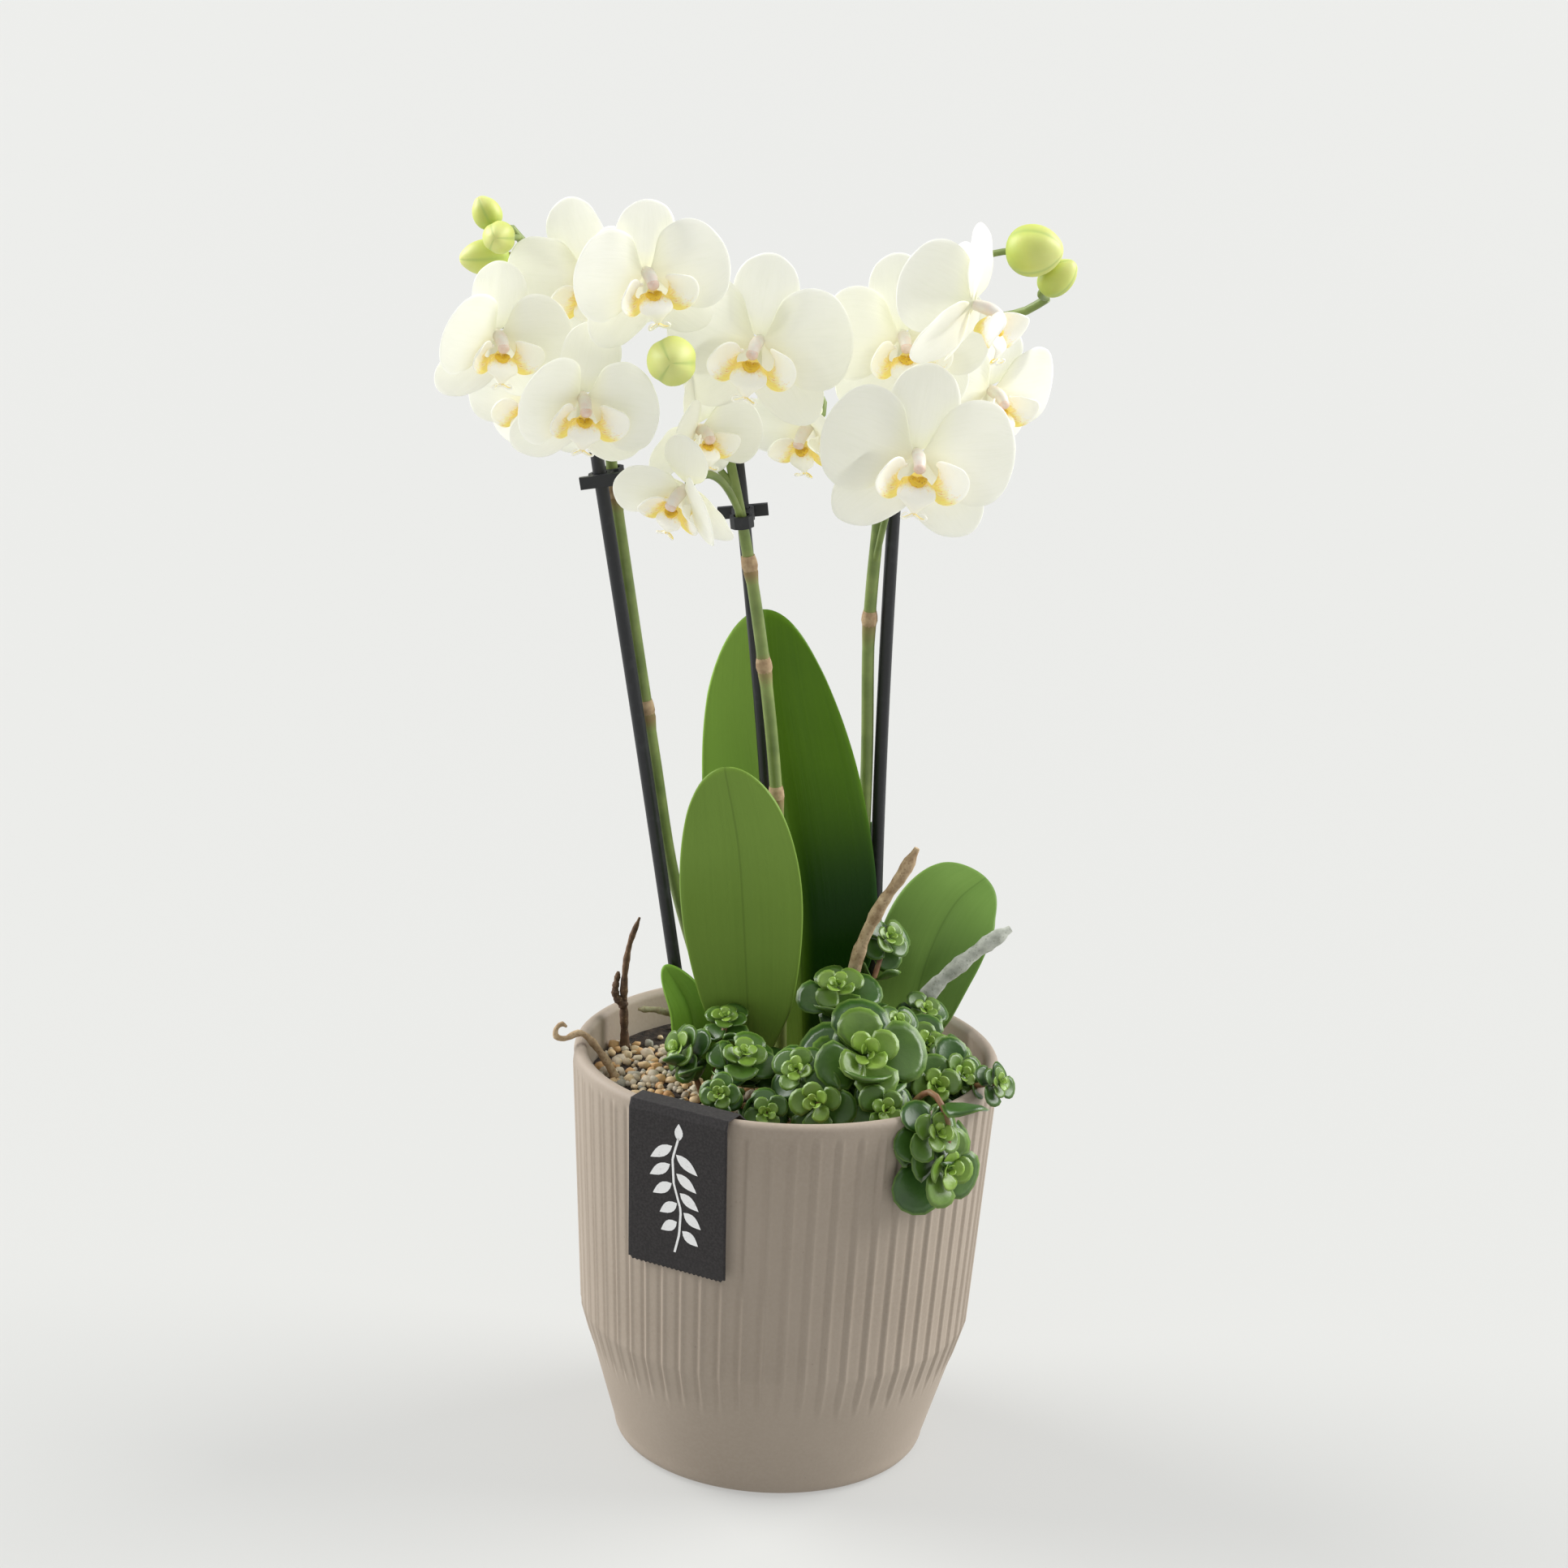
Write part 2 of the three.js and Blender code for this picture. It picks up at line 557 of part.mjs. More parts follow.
function curlGeometry() {
  const points = CURL.map((place) => overRim(CURL_AZIMUTH, place));
  return join([foot([points[0].x, points[0].y], CURL_RADIUS), tube(smooth(points), CURL_RADIUS, 14)]);
}

// ---------------------------------------------------------------- sedum
// A round cushion of leaves about a point, facing a direction: its edge is scalloped, one scallop to each leaf.
function leafCushion(centre, normal, radius, leaves) {
  const geometry = new THREE.SphereGeometry(1, 2 * leaves, 3);
  geometry.rotateX(Math.PI / 2);
  const place = geometry.attributes.position;
  for (let i = 0; i < place.count; i++) {
    const angle = Math.atan2(place.getY(i), place.getX(i));
    const reach = Math.hypot(place.getX(i), place.getY(i));
    const scallop = radius * (1 - SCALLOP * (0.5 - 0.5 * Math.cos(leaves * angle)));
    const lift = CUSHION_CUP * radius * reach * reach + place.getZ(i) * CUSHION_THICKNESS * 0.5;
    place.setXYZ(i, place.getX(i) * scallop, place.getY(i) * scallop, lift);
  }
  geometry.applyQuaternion(new THREE.Quaternion().setFromUnitVectors(UP, normal));
  return geometry.translate(centre.x, centre.y, centre.z);
}

// A rosette is a wide cushion of grown leaves with a small one of young leaves on it.
function rosette(centre, facing, radius, leaves) {
  const normal = new THREE.Vector3(...facing).normalize();
  const young = centre.clone().addScaledVector(normal, CUSHION_THICKNESS * 0.6);
  return [leafCushion(centre, normal, radius, leaves), leafCushion(young, normal, radius * 0.55, 4)];
}

// Each sprig: where it is planted, then its rosettes as centre, facing, radius and number of outer leaves.
const SEDUM = {
  sedum_left: {
    root: [-22, -24],
    rosettes: [
      [[-19, -14, 26], [-0.1, -0.5, 1], 8, 5],
      [[-12.5, -29, 20], [0.1, -0.6, 1], 10.5, 6],
      [[-19.5, -43, 12], [-0.2, -1, 0.6], 7, 5],
      [[-33, -20, 17], [-1, -0.6, 0.5], 10, 6],
    ],
  },
  sedum_middle: {
    root: [20, -26],
    rosettes: [
      [[23.5, -38, 25], [0.1, -1, 0.75], 18, 7],
      [[1, -36, 19], [-0.3, -0.8, 0.7], 8, 5],
      [[33, -20, 29], [0.4, -0.6, 0.8], 8, 5],
    ],
  },
  sedum_back: {
    root: [16, -8],
    rosettes: [
      [[14.5, -7, 35], [-0.1, -0.7, 1], 12, 6],
      [[30, 9, 46], [0.4, -0.6, 0.6], 9, 5],
    ],
  },
  sedum_right: {
    root: [42, -14],
    rosettes: [
      [[42, 4, 25], [0.3, -0.5, 0.9], 8, 5],
      [[50, -16, 20], [0.5, -0.5, 0.9], 9, 5],
      [[64, -32, 16], [1, -0.7, 0.6], 7.5, 6],
    ],
  },
};

function sprigGeometry({ root, rosettes }) {
  const base = planted([...root, 2]);
  const pieces = [foot(root, SEDUM_STEM_RADIUS)];
  for (const [at, facing, radius, count] of rosettes) {
    const centre = planted(at);
    const bend = base.clone().lerp(centre, 0.45).setZ(centre.z * 0.8 + base.z * 0.2);
    pieces.push(tube(new THREE.QuadraticBezierCurve3(base, bend, centre), SEDUM_STEM_RADIUS, 4));
    pieces.push(...rosette(centre, facing, radius, count));
  }
  return join(pieces);
}

// The trailing sprig is planted inside the pot and hangs down the outside of the wall.
const TRAIL_AZIMUTH = 39;
const TRAIL_PATH = [[-12, 0, -GRAVEL_DROP + 2], [-10, 0, -2], [-1, 0, 6], [6, 0, 0], [7.5, 0, -10]];
const TRAIL_ROSETTES = [
  { at: [8, 0, -15], facing: [0.1, -1, 0.15], radius: 14, count: 6 },
  { at: [7, -3, -3], facing: [-0.1, -0.9, 0.5], radius: 11, count: 6 },
];

function trailGeometry() {
  const points = TRAIL_PATH.map((place) => overRim(TRAIL_AZIMUTH, place));
  const pieces = [foot([points[0].x, points[0].y], SEDUM_STEM_RADIUS)];
  pieces.push(tube(smooth(points), SEDUM_STEM_RADIUS, 12));
  for (const { at, facing, radius, count } of TRAIL_ROSETTES) {
    const outward = new THREE.Vector3(...facing).applyAxisAngle(UP, radians(TRAIL_AZIMUTH));
    pieces.push(...rosette(overRim(TRAIL_AZIMUTH, at), outward.toArray(), radius, count));
  }
  return join(pieces);
}

// ---------------------------------------------------------------- assembly
const orchid = new THREE.Group();
for (const name of Object.keys(SPIKES)) addSpike(orchid, name);
for (const [name, leaf] of Object.entries(LEAVES)) addMesh(orchid, name, leafGeometry(leaf), "leaf_green");
for (const [name, root] of Object.entries(ROOTS)) addMesh(orchid, name, rootGeometry(root), root.finish);
addMesh(orchid, "root_curl_left", curlGeometry(), "root_brown");

const sedum = new THREE.Group();
for (const [name, sprig] of Object.entries(SEDUM)) addMesh(sedum, name, sprigGeometry(sprig), "sedum_green");
addMesh(sedum, "sedum_trailing", trailGeometry(), "sedum_green");

const SOIL_TOP = GRAVEL_TOP - GRAVEL_DEPTH - CLEARANCE;
const holder = new THREE.Group();
addMesh(holder, "pot", potGeometry(), "taupe_ceramic");
addMesh(holder, "potting_mix", cut(fillingGeometry(POT_FLOOR + CLEARANCE, SOIL_TOP), sockets), "soil");
addMesh(holder, "gravel", cut(fillingGeometry(GRAVEL_TOP - GRAVEL_DEPTH, GRAVEL_TOP), sockets), "gravel");
addMesh(holder, "label_card", cardGeometry(), "black_card");

const arrangement = new THREE.Group();
arrangement.add(holder, orchid, sedum);

export default arrangement;
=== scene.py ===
# %% [markdown]
# # A potted orchid, cell by cell
# A miniature moth orchid with three flower spikes stands in a ribbed taupe pot, with a creeping sedum at its
# foot. The packed model is the frame: it says where each piece is and how large it may be. Every cell below
# makes one kind of piece in that place, finer than the frame has it, and gives it its finish.

# %% The frame
import math
import random

import bpy
from mathutils import Euler, Matrix, Quaternion, Vector


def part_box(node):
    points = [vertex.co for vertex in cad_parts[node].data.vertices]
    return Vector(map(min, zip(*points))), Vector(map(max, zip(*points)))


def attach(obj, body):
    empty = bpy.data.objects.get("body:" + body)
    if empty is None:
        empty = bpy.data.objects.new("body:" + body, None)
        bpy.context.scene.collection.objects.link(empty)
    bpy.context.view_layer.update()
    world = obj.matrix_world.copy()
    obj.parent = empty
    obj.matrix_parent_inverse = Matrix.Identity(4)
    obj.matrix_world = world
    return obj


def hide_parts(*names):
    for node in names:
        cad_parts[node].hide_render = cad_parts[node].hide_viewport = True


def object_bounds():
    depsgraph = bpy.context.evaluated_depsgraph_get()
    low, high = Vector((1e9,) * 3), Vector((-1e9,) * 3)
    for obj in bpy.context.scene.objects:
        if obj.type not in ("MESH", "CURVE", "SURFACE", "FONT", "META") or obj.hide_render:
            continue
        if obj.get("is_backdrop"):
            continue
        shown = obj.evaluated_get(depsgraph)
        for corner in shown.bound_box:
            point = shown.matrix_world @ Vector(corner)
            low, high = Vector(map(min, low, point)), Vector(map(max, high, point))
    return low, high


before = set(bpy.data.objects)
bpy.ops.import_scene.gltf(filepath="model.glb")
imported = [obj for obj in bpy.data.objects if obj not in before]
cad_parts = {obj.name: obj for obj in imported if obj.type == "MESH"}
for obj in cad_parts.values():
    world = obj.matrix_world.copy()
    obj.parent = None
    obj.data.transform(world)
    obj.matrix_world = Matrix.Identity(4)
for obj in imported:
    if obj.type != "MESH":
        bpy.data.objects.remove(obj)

CAD_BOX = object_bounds()
print("frame:", len(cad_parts), "nodes, box", [round(side, 4) for side in CAD_BOX[1] - CAD_BOX[0]])

# %% [markdown]
# Sizes are easiest to read in millimetres, so one value turns them into Blender's metres. A plant's places are
# counted from the pot's axis and from the top of the gravel, which the frame gives.

# %% Units, the gravel's top and the pot's rim
MM = 0.001
GRAVEL_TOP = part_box("gravel")[1].z
POT_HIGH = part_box("pot")[1]
RIM_RADIUS = POT_HIGH.x
UP = Vector((0, 0, 1))


def planted(point):
    """A place in mm from the pot's axis and the gravel's top, in metres."""
    return Vector((point[0] * MM, point[1] * MM, GRAVEL_TOP + point[2] * MM))


def fade(value, start, end):
    """0 before start, 1 after end, and a soft curve between; start may be the larger."""
    share = min(max((value - start) / (end - start), 0), 1)
    return share * share * (3 - 2 * share)


def mix(a, b, share):
    return a + (b - a) * share


print("gravel top", round(GRAVEL_TOP / MM, 1), "mm, rim radius", round(RIM_RADIUS / MM, 1), "mm")

# %% [markdown]
# The camera stands about a metre in front and looks down a little, as someone does who looks at a plant on a
# table. It leans slightly to one side. A quaternion for the tilt and one for the lean give that as two plain
# turns.

# %% Camera
CAMERA_PLACE = Vector((-4.8, -1000, 501.3)) * MM
CAMERA_TILT = math.radians(73.83)
CAMERA_LEAN = math.radians(2.83)
CAMERA_LENS, CAMERA_SENSOR = 79.8, 36  # mm

bpy.ops.object.select_all(action="DESELECT")
bpy.ops.object.camera_add(location=CAMERA_PLACE)
camera = bpy.context.object
camera.rotation_mode = "QUATERNION"
camera.rotation_quaternion = Quaternion((1, 0, 0), CAMERA_TILT) @ Quaternion((0, 0, 1), CAMERA_LEAN)
camera.data.lens = CAMERA_LENS
camera.data.sensor_width = CAMERA_SENSOR
bpy.context.scene.camera = camera
print("camera at", tuple(round(x, 3) for x in camera.location))

# %% [markdown]
# A product table is lit from both sides by wide soft lamps, with less from the front, so a round pot is
# lightest at its flanks. Wide suns do the same and leave the floor even, where lamps close by would leave a
# pool of light. The floor glows a little itself, so shadows on it stay as faint as on a lit white table.

# %% Floor and light
FLOOR_SIDE = 60
FLOOR_PALE = (0.245, 0.247, 0.235)
FLOOR_GLOW_COLOUR = (1, 1, 0.98, 1)
FLOOR_GLOW = 0.41
SKY, SKY_STRENGTH = (0.93, 0.95, 1, 1), 0.34
LAMPS = {
    "left": {"towards": (1, -0.32, -0.6), "strength": 3.5, "angle": 44},
    "right": {"towards": (-1, -0.27, -0.6), "strength": 3.5, "angle": 44},
    "above": {"towards": (0.05, 0.35, -1), "strength": 0.6, "angle": 70},
}

bpy.context.scene.view_settings.view_transform = "Standard"
world = bpy.data.worlds.new("pale_room")
world.use_nodes = True
world.node_tree.nodes["Background"].inputs["Color"].default_value = SKY
world.node_tree.nodes["Background"].inputs["Strength"].default_value = SKY_STRENGTH
bpy.context.scene.world = world

for name, lamp in LAMPS.items():
    bpy.ops.object.light_add(type="SUN")
    sun = bpy.context.object
    sun.name = f"lamp_{name}"
    sun.rotation_mode = "QUATERNION"
    sun.rotation_quaternion = Vector(lamp["towards"]).to_track_quat("-Z", "Y")
    sun.data.energy = lamp["strength"]
    sun.data.angle = math.radians(lamp["angle"])

bpy.ops.mesh.primitive_plane_add(size=FLOOR_SIDE, location=(0, 0, 0))
floor = bpy.context.object
floor.name = "floor"
floor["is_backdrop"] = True
print("floor of", FLOOR_SIDE, "m and", len(LAMPS), "lamps")

# %% [markdown]
# A finish is a small tree of nodes. Written as node calls it is hard to follow, so one class wraps a socket and
# lets Python's own + - * build the Math nodes, and another holds the material and adds every other kind of
# node. The floor gets the first finish, a pale matt paint with the faintest clouding.

# %% A value that does sums
class Value:
    """A socket that does sums: each operator adds a Math node."""

    def __init__(self, finish, socket):
        self.finish, self.socket = finish, socket

    def sum(self, operation, *values):
        return self.finish.node("ShaderNodeMath", {"operation": operation}, dict(enumerate(values)))

    def __add__(self, other):
        return self.sum("ADD", self, other)

    def __sub__(self, other):
        return self.sum("SUBTRACT", self, other)

    def __rsub__(self, other):
        return self.sum("SUBTRACT", other, self)

    def __mul__(self, other):
        return self.sum("MULTIPLY", self, other)

    def __abs__(self):
        return self.sum("ABSOLUTE", self)

    __radd__ = __add__
    __rmul__ = __mul__

    def between(self, start, end):
        """0 up to start, 1 from end on."""
        settings = {"interpolation_type": "SMOOTHSTEP", "clamp": True}
        sockets = {"Value": self, "From Min": start, "From Max": end}
        return self.finish.node("ShaderNodeMapRange", settings, sockets)

    def out(self, name):
        """Another output of the same node."""
        return Value(self.finish, self.socket.node.outputs[name])


print("a value has", ", ".join(name for name in vars(Value) if not name.startswith("__")), "and + - * abs()")

# %% A material and its nodes
class Finish:
    """A material with one Principled shader; its nodes are added as they are needed."""

    def __init__(self, name, **fixed):
        self.material = bpy.data.materials.new(name)
        self.material.use_nodes = True
        self.tree = self.material.node_tree
        self.shader = self.tree.nodes["Principled BSDF"]
        for socket, value in fixed.items():
            self.shader.inputs[socket.replace("_", " ")].default_value = value

    def node(self, kind, settings=(), sockets=(), output=0):
        """Adds a node: its settings come first, then the values or links of its sockets."""
        made = self.tree.nodes.new(kind)
        for setting, value in dict(settings).items():
            if setting == "stops":
                for stop, (place, colour) in enumerate(value):
                    ramp = made.color_ramp.elements
                    element = ramp[stop] if stop < len(ramp) else ramp.new(place)
                    element.position, element.color = place, (*colour, 1)
            else:
                setattr(made, setting, value)
        for socket, value in dict(sockets).items():
            if isinstance(value, Value):
                self.tree.links.new(value.socket, made.inputs[socket])
            else:
                made.inputs[socket].default_value = value
        return Value(self, made.outputs[output])

    def place(self):
        """Where a point is on the object."""
        return self.node("ShaderNodeTexCoord").out("Object")

    def along(self):
        """Across and along a leaf or petal, from its own map."""
        return self.node("ShaderNodeUVMap", {"uv_map": "UVMap"})

    def attribute(self, name):
        """A number that a mesh holds for each point."""
        return self.node("ShaderNodeAttribute", {"attribute_name": name}).out("Fac")

    def parts(self, vector):
        """A vector's first two numbers."""
        split = self.node("ShaderNodeSeparateXYZ", sockets={0: vector})
        return split, split.out("Y")

    def vector(self, x, y):
        return self.node("ShaderNodeCombineXYZ", sockets={0: x, 1: y})

    def noise(self, at, scale, detail=3.0, roughness=0.5):
        sockets = {"Vector": at, "Scale": scale, "Detail": detail, "Roughness": roughness}
        return self.node("ShaderNodeTexNoise", sockets=sockets)

    def cells(self, at, scale):
        """How far a point is from the middle of its cell."""
        return self.node("ShaderNodeTexVoronoi", sockets={"Vector": at, "Scale": scale}).out("Distance")

    def ramp(self, value, *stops):
        return self.node("ShaderNodeValToRGB", {"stops": stops}, {"Fac": value})

    def blend(self, share, a, b):
        """Colour a turning into colour b; each is a Value or three numbers."""
        a, b = (colour if isinstance(colour, Value) else (*colour, 1) for colour in (a, b))
        return self.node("ShaderNodeMix", {"data_type": "RGBA"}, {0: share, 6: a, 7: b}, output=2)

    def set(self, socket, value):
        self.tree.links.new(value.socket, self.shader.inputs[socket])

    def bump(self, height, strength, distance):
        """Distance is in mm."""
        sockets = {"Strength": strength, "Distance": distance * MM, "Height": height}
        self.set("Normal", self.node("ShaderNodeBump", sockets=sockets))


print("a finish has", ", ".join(name for name in vars(Finish) if not name.startswith("__")))

# %% The floor's finish
floor_finish = Finish("pale_floor", Roughness=0.75)
floor_finish.shader.inputs["Emission Color"].default_value = FLOOR_GLOW_COLOUR
floor_finish.shader.inputs["Emission Strength"].default_value = FLOOR_GLOW
floor_tone = floor_finish.noise(floor_finish.place(), 2.0)
floor_finish.set("Base Color", floor_finish.blend(floor_tone, FLOOR_PALE, [c * 0.99 for c in FLOOR_PALE]))
floor.data.materials.append(floor_finish.material)
print("finish:", floor_finish.material.name)

# %% [markdown]
# Three steps end every piece. Its doubles are merged and its faces turned outwards, its edges are smoothed
# where they are shallow, and it is tied to the frame: it rides on the one body and stands for the node that it
# replaces. The same three by hand, piece after piece, would soon differ, so each is a function. An operator
# acts on all that is selected, so each function first selects its piece alone.

# %% Ending a piece
def only(piece):
    """Selects a piece alone."""
    bpy.ops.object.select_all(action="DESELECT")
    piece.select_set(True)
    bpy.context.view_layer.objects.active = piece


def tidy(piece, angle=50):
    """Merges doubles, turns faces outwards and smooths."""
    only(piece)
    bpy.ops.object.mode_set(mode="EDIT")
    bpy.ops.mesh.select_all(action="SELECT")
    bpy.ops.mesh.remove_doubles(threshold=1e-6)
    bpy.ops.mesh.normals_make_consistent(inside=False)
    bpy.ops.object.mode_set(mode="OBJECT")
    bpy.ops.object.shade_smooth_by_angle(angle=math.radians(angle))
    return piece


def apply(piece, kind, **settings):
    """Adds a modifier and applies it."""
    only(piece)
    modifier = piece.modifiers.new(kind.lower(), kind)
    for setting, value in settings.items():
        setattr(modifier, setting, value)
    bpy.ops.object.modifier_apply(modifier=modifier.name)
    return piece


def joined(pieces):
    """Makes one object of several."""
    bpy.ops.object.select_all(action="DESELECT")
    for piece in pieces:
        piece.select_set(True)
    bpy.context.view_layer.objects.active = pieces[0]
    if len(pieces) > 1:
        bpy.ops.object.join()
    return pieces[0]


def keep(piece, name, slot, *nodes):
    """Names a finished piece and ties it to the frame."""
    piece.name = piece.data.name = name
    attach(piece, "root")
    if nodes:
        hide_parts(*nodes)
    print(f"{name}: {len(piece.data.polygons)} faces")


print("steps that end a piece:", ", ".join(step.__name__ for step in (only, tidy, apply, joined, keep)))

# %% [markdown]
# Stems, roots, leaves and pedicels all follow a curve. A Blender curve could hold each, but its points can't
# easily be asked for, so one class bends a smooth line through a few places and then says where it is at any
# share of its length. A rod is a poly curve with a round bevel made into a mesh. A blade is a grid laid along
# the line, then thickened and smoothed by modifiers.

# %% A smooth line
class Spine:
    """A smooth line through points in metres, read by its share of length."""

    def __init__(self, points, parts=16):
        before = points[0] * 2 - points[1]
        after = points[-1] * 2 - points[-2]
        ends = [before, *points, after]
        self.points = [points[0]]
        for a, b, c, d in zip(ends, ends[1:], ends[2:], ends[3:]):
            self.points += [self.passing(a, b, c, d, i / parts) for i in range(1, parts + 1)]
        self.lengths = [0.0]
        for a, b in zip(self.points, self.points[1:]):
            self.lengths.append(self.lengths[-1] + (b - a).length)

    @staticmethod
    def passing(a, b, c, d, share):
        """The centripetal curve from b to c."""
        start = math.sqrt((b - a).length)
        end = start + math.sqrt((c - b).length)
        last = end + math.sqrt((d - c).length)
        now = mix(start, end, share)
        ab, bc, cd = a.lerp(b, now / start), b.lerp(c, share), c.lerp(d, (now - end) / (last - end))
        return ab.lerp(bc, now / end).lerp(bc.lerp(cd, (now - start) / (last - start)), share)

    def at(self, share):
        """The place at a share of the length."""
        goal = min(max(share, 0), 1) * self.lengths[-1]
        last = len(self.lengths) - 1
        i = next(i for i in range(1, last + 1) if self.lengths[i] >= goal or i == last)
        part = (goal - self.lengths[i - 1]) / max(self.lengths[i] - self.lengths[i - 1], 1e-9)
        return self.points[i - 1].lerp(self.points[i], part)

    def heading(self, share):
        """The way it goes there."""
        step = 0.02
        return (self.at(share + step) - self.at(share - step)).normalized()

    def places(self, count):
        """Places at even shares of its length, both ends among them."""
        return [self.at(k / count) for k in range(count + 1)]

    def at_height(self, height):
        """The share of length at which it first reaches a height."""
        i = next(i for i, point in enumerate(self.points) if point.z >= height)
        return self.lengths[i] / self.lengths[-1]


trial = Spine([planted(point) for point in ((0, 0, 0), (0, 0, 10), (10, 0, 20))])
print("a trial line of", round(trial.lengths[-1] / MM, 1), "mm")

# %% A rod and a blade along a line
def dwindled(first, last, count):
    """Even steps from one value to another."""
    return [mix(first, last, k / count) for k in range(count + 1)]


def rod(name, points, radii, sides):
    """A round rod along points; radii is one value in mm, or one for each point."""
    bpy.ops.object.select_all(action="DESELECT")
    bpy.ops.curve.primitive_bezier_curve_add(location=(0, 0, 0))
    curve = bpy.context.object
    curve.data.splines.clear()
    line = curve.data.splines.new("POLY")
    line.points.add(len(points) - 1)
    for i, (dot, point) in enumerate(zip(line.points, points)):
        dot.co = (*point, 1)
        dot.radius = radii if isinstance(radii, (int, float)) else radii[i]
    curve.data.bevel_depth = MM
    curve.data.bevel_resolution = sides // 2 - 2
    curve.data.use_fill_caps = True
    bpy.ops.object.convert(target="MESH")
    made = bpy.context.object
    made.name = name
    return made


def blade(name, spine, side, width, thickness, grid, widest, form):
    """A leaf or petal: a grid rounded to an oval, laid along a spine with its width along side, then thickened.
    grid is its columns and rows, and widest the share of its length where it is widest. form(across, share)
    gives how far a point is lifted off the spine, in mm, and a factor on the width."""
    bpy.ops.object.select_all(action="DESELECT")
    bpy.ops.mesh.primitive_grid_add(x_subdivisions=grid[0], y_subdivisions=grid[1], size=2)
    made = bpy.context.object
    made.name = name
    power = math.log(widest) / math.log(0.5)
    for vertex in made.data.vertices:
        a, b = vertex.co.x, vertex.co.y
        across, up = a * math.sqrt(1 - b * b / 2), b * math.sqrt(1 - a * a / 2)
        share = ((up + 1) / 2) ** power
        lift, factor = form(across, share)
        heading = spine.heading(share)
        face = heading.cross(side).normalized()
        edge = face.cross(heading).normalized()
        vertex.co = spine.at(share) + edge * (across * factor * width / 2 * MM) + face * (lift * MM)
    made.data.update()
    apply(made, "SOLIDIFY", thickness=thickness * MM, offset=0)
    apply(made, "SUBSURF", levels=1, render_levels=1)
    return made


print("radii that dwindle in four steps:", dwindled(2, 1, 4))

# %% [markdown]
# The pot is slip-cast stoneware: a cone up to a shoulder, then a nearly upright wall with sixty fine ribs that
# run out below the shoulder. Ribs could be cut one by one, but they all fade alike, so a ring of edges is
# extruded ring by ring up the outside, over the rim and down the inside, and then each outer vertex is moved in
# or out by where it stands in its rib.

# %% Pot profile
RIBS = 60
STEPS_IN_RIB = 12
SHOULDER = (60, 43.5)
BASE_RADIUS = 47.2
BASE_FILLET = 4.8
CENTRE_RADIUS, FOOT_HOLLOW = 20, 0.6
WALL = 4
INSIDE_FLOOR = 6
RIB_RIDGE, RIB_GROOVE = 0.42, 0.45
RIB_TOP = (POT_HIGH.z / MM - 3, POT_HIGH.z / MM - 6.5)
RIB_FOOT = (29, 36)
LIP_CENTRE = POT_HIGH.z / MM - WALL / 2


def wall_radius(height):
    """The smooth outer wall, in mm."""
    if height < SHOULDER[1]:
        return mix(BASE_RADIUS, SHOULDER[0], height / SHOULDER[1])
    return mix(SHOULDER[0], RIM_RADIUS / MM, min((height - SHOULDER[1]) / (LIP_CENTRE - SHOULDER[1]), 1))


def pot_profile():
    """Rings from the middle of the underside, up the outside, over the rim and down to the inner floor."""
    rings = [(CENTRE_RADIUS, FOOT_HOLLOW), (BASE_RADIUS - 8, FOOT_HOLLOW), (BASE_RADIUS - 7, 0)]
    for turn in range(0, 91, 15):
        out = BASE_FILLET * (math.sin(math.radians(turn)) - 1)
        rings.append((wall_radius(BASE_FILLET) + out, BASE_FILLET * (1 - math.cos(math.radians(turn)))))
    heights = [8, 12, 16, 20, 23, 26, 29, 32, 35, 38, 40.5, 42.5, 43.5, 44.5, 47]
    heights += [mix(50, RIB_TOP[1] - 3, i / 16) for i in range(17)] + [RIB_TOP[1] + 0.5 * i for i in range(8)]
    rings += [(wall_radius(height), height) for height in heights]
    for turn in range(0, 181, 20):
        out = WALL / 2 * math.cos(math.radians(turn))
        rings.append((RIM_RADIUS / MM - WALL / 2 + out, LIP_CENTRE + WALL / 2 * math.sin(math.radians(turn))))
    inner = [SHOULDER[1] + 60, SHOULDER[1], INSIDE_FLOOR + 3, INSIDE_FLOOR]
    return rings + [(wall_radius(height) - WALL, height) for height in inner] + [(CENTRE_RADIUS, INSIDE_FLOOR)]


rings = pot_profile()
print("pot profile:", len(rings), "rings")

# %% Pot
first_radius, first_height = rings[0][0] * MM, rings[0][1] * MM
bpy.ops.object.select_all(action="DESELECT")
sides = RIBS * STEPS_IN_RIB
bpy.ops.mesh.primitive_circle_add(vertices=sides, radius=first_radius, location=(0, 0, first_height))
pot = bpy.context.object
only(pot)
bpy.ops.object.transform_apply(location=True, rotation=True, scale=True)
bpy.ops.object.mode_set(mode="EDIT")
bpy.ops.mesh.select_all(action="SELECT")
for (radius, height), (new_radius, new_height) in zip(rings, rings[1:]):
    rise = {"value": (0, 0, (new_height - height) * MM)}
    bpy.ops.mesh.extrude_region_move(TRANSFORM_OT_translate=rise)
    grow = new_radius / radius
    bpy.ops.transform.resize(value=(grow, grow, 1), center_override=(0, 0, new_height * MM))
bpy.ops.mesh.edge_face_add()
bpy.ops.mesh.select_all(action="DESELECT")
bpy.ops.object.mode_set(mode="OBJECT")
for edge in pot.data.edges:
    ends = [pot.data.vertices[i].co for i in edge.vertices]
    edge.select = all(abs(end.z - first_height) < 1e-6 and end.xy.length < first_radius * 1.01 for end in ends)
bpy.ops.object.mode_set(mode="EDIT")
bpy.ops.mesh.edge_face_add()
bpy.ops.object.mode_set(mode="OBJECT")
print("pot before its ribs:", len(pot.data.polygons), "faces")


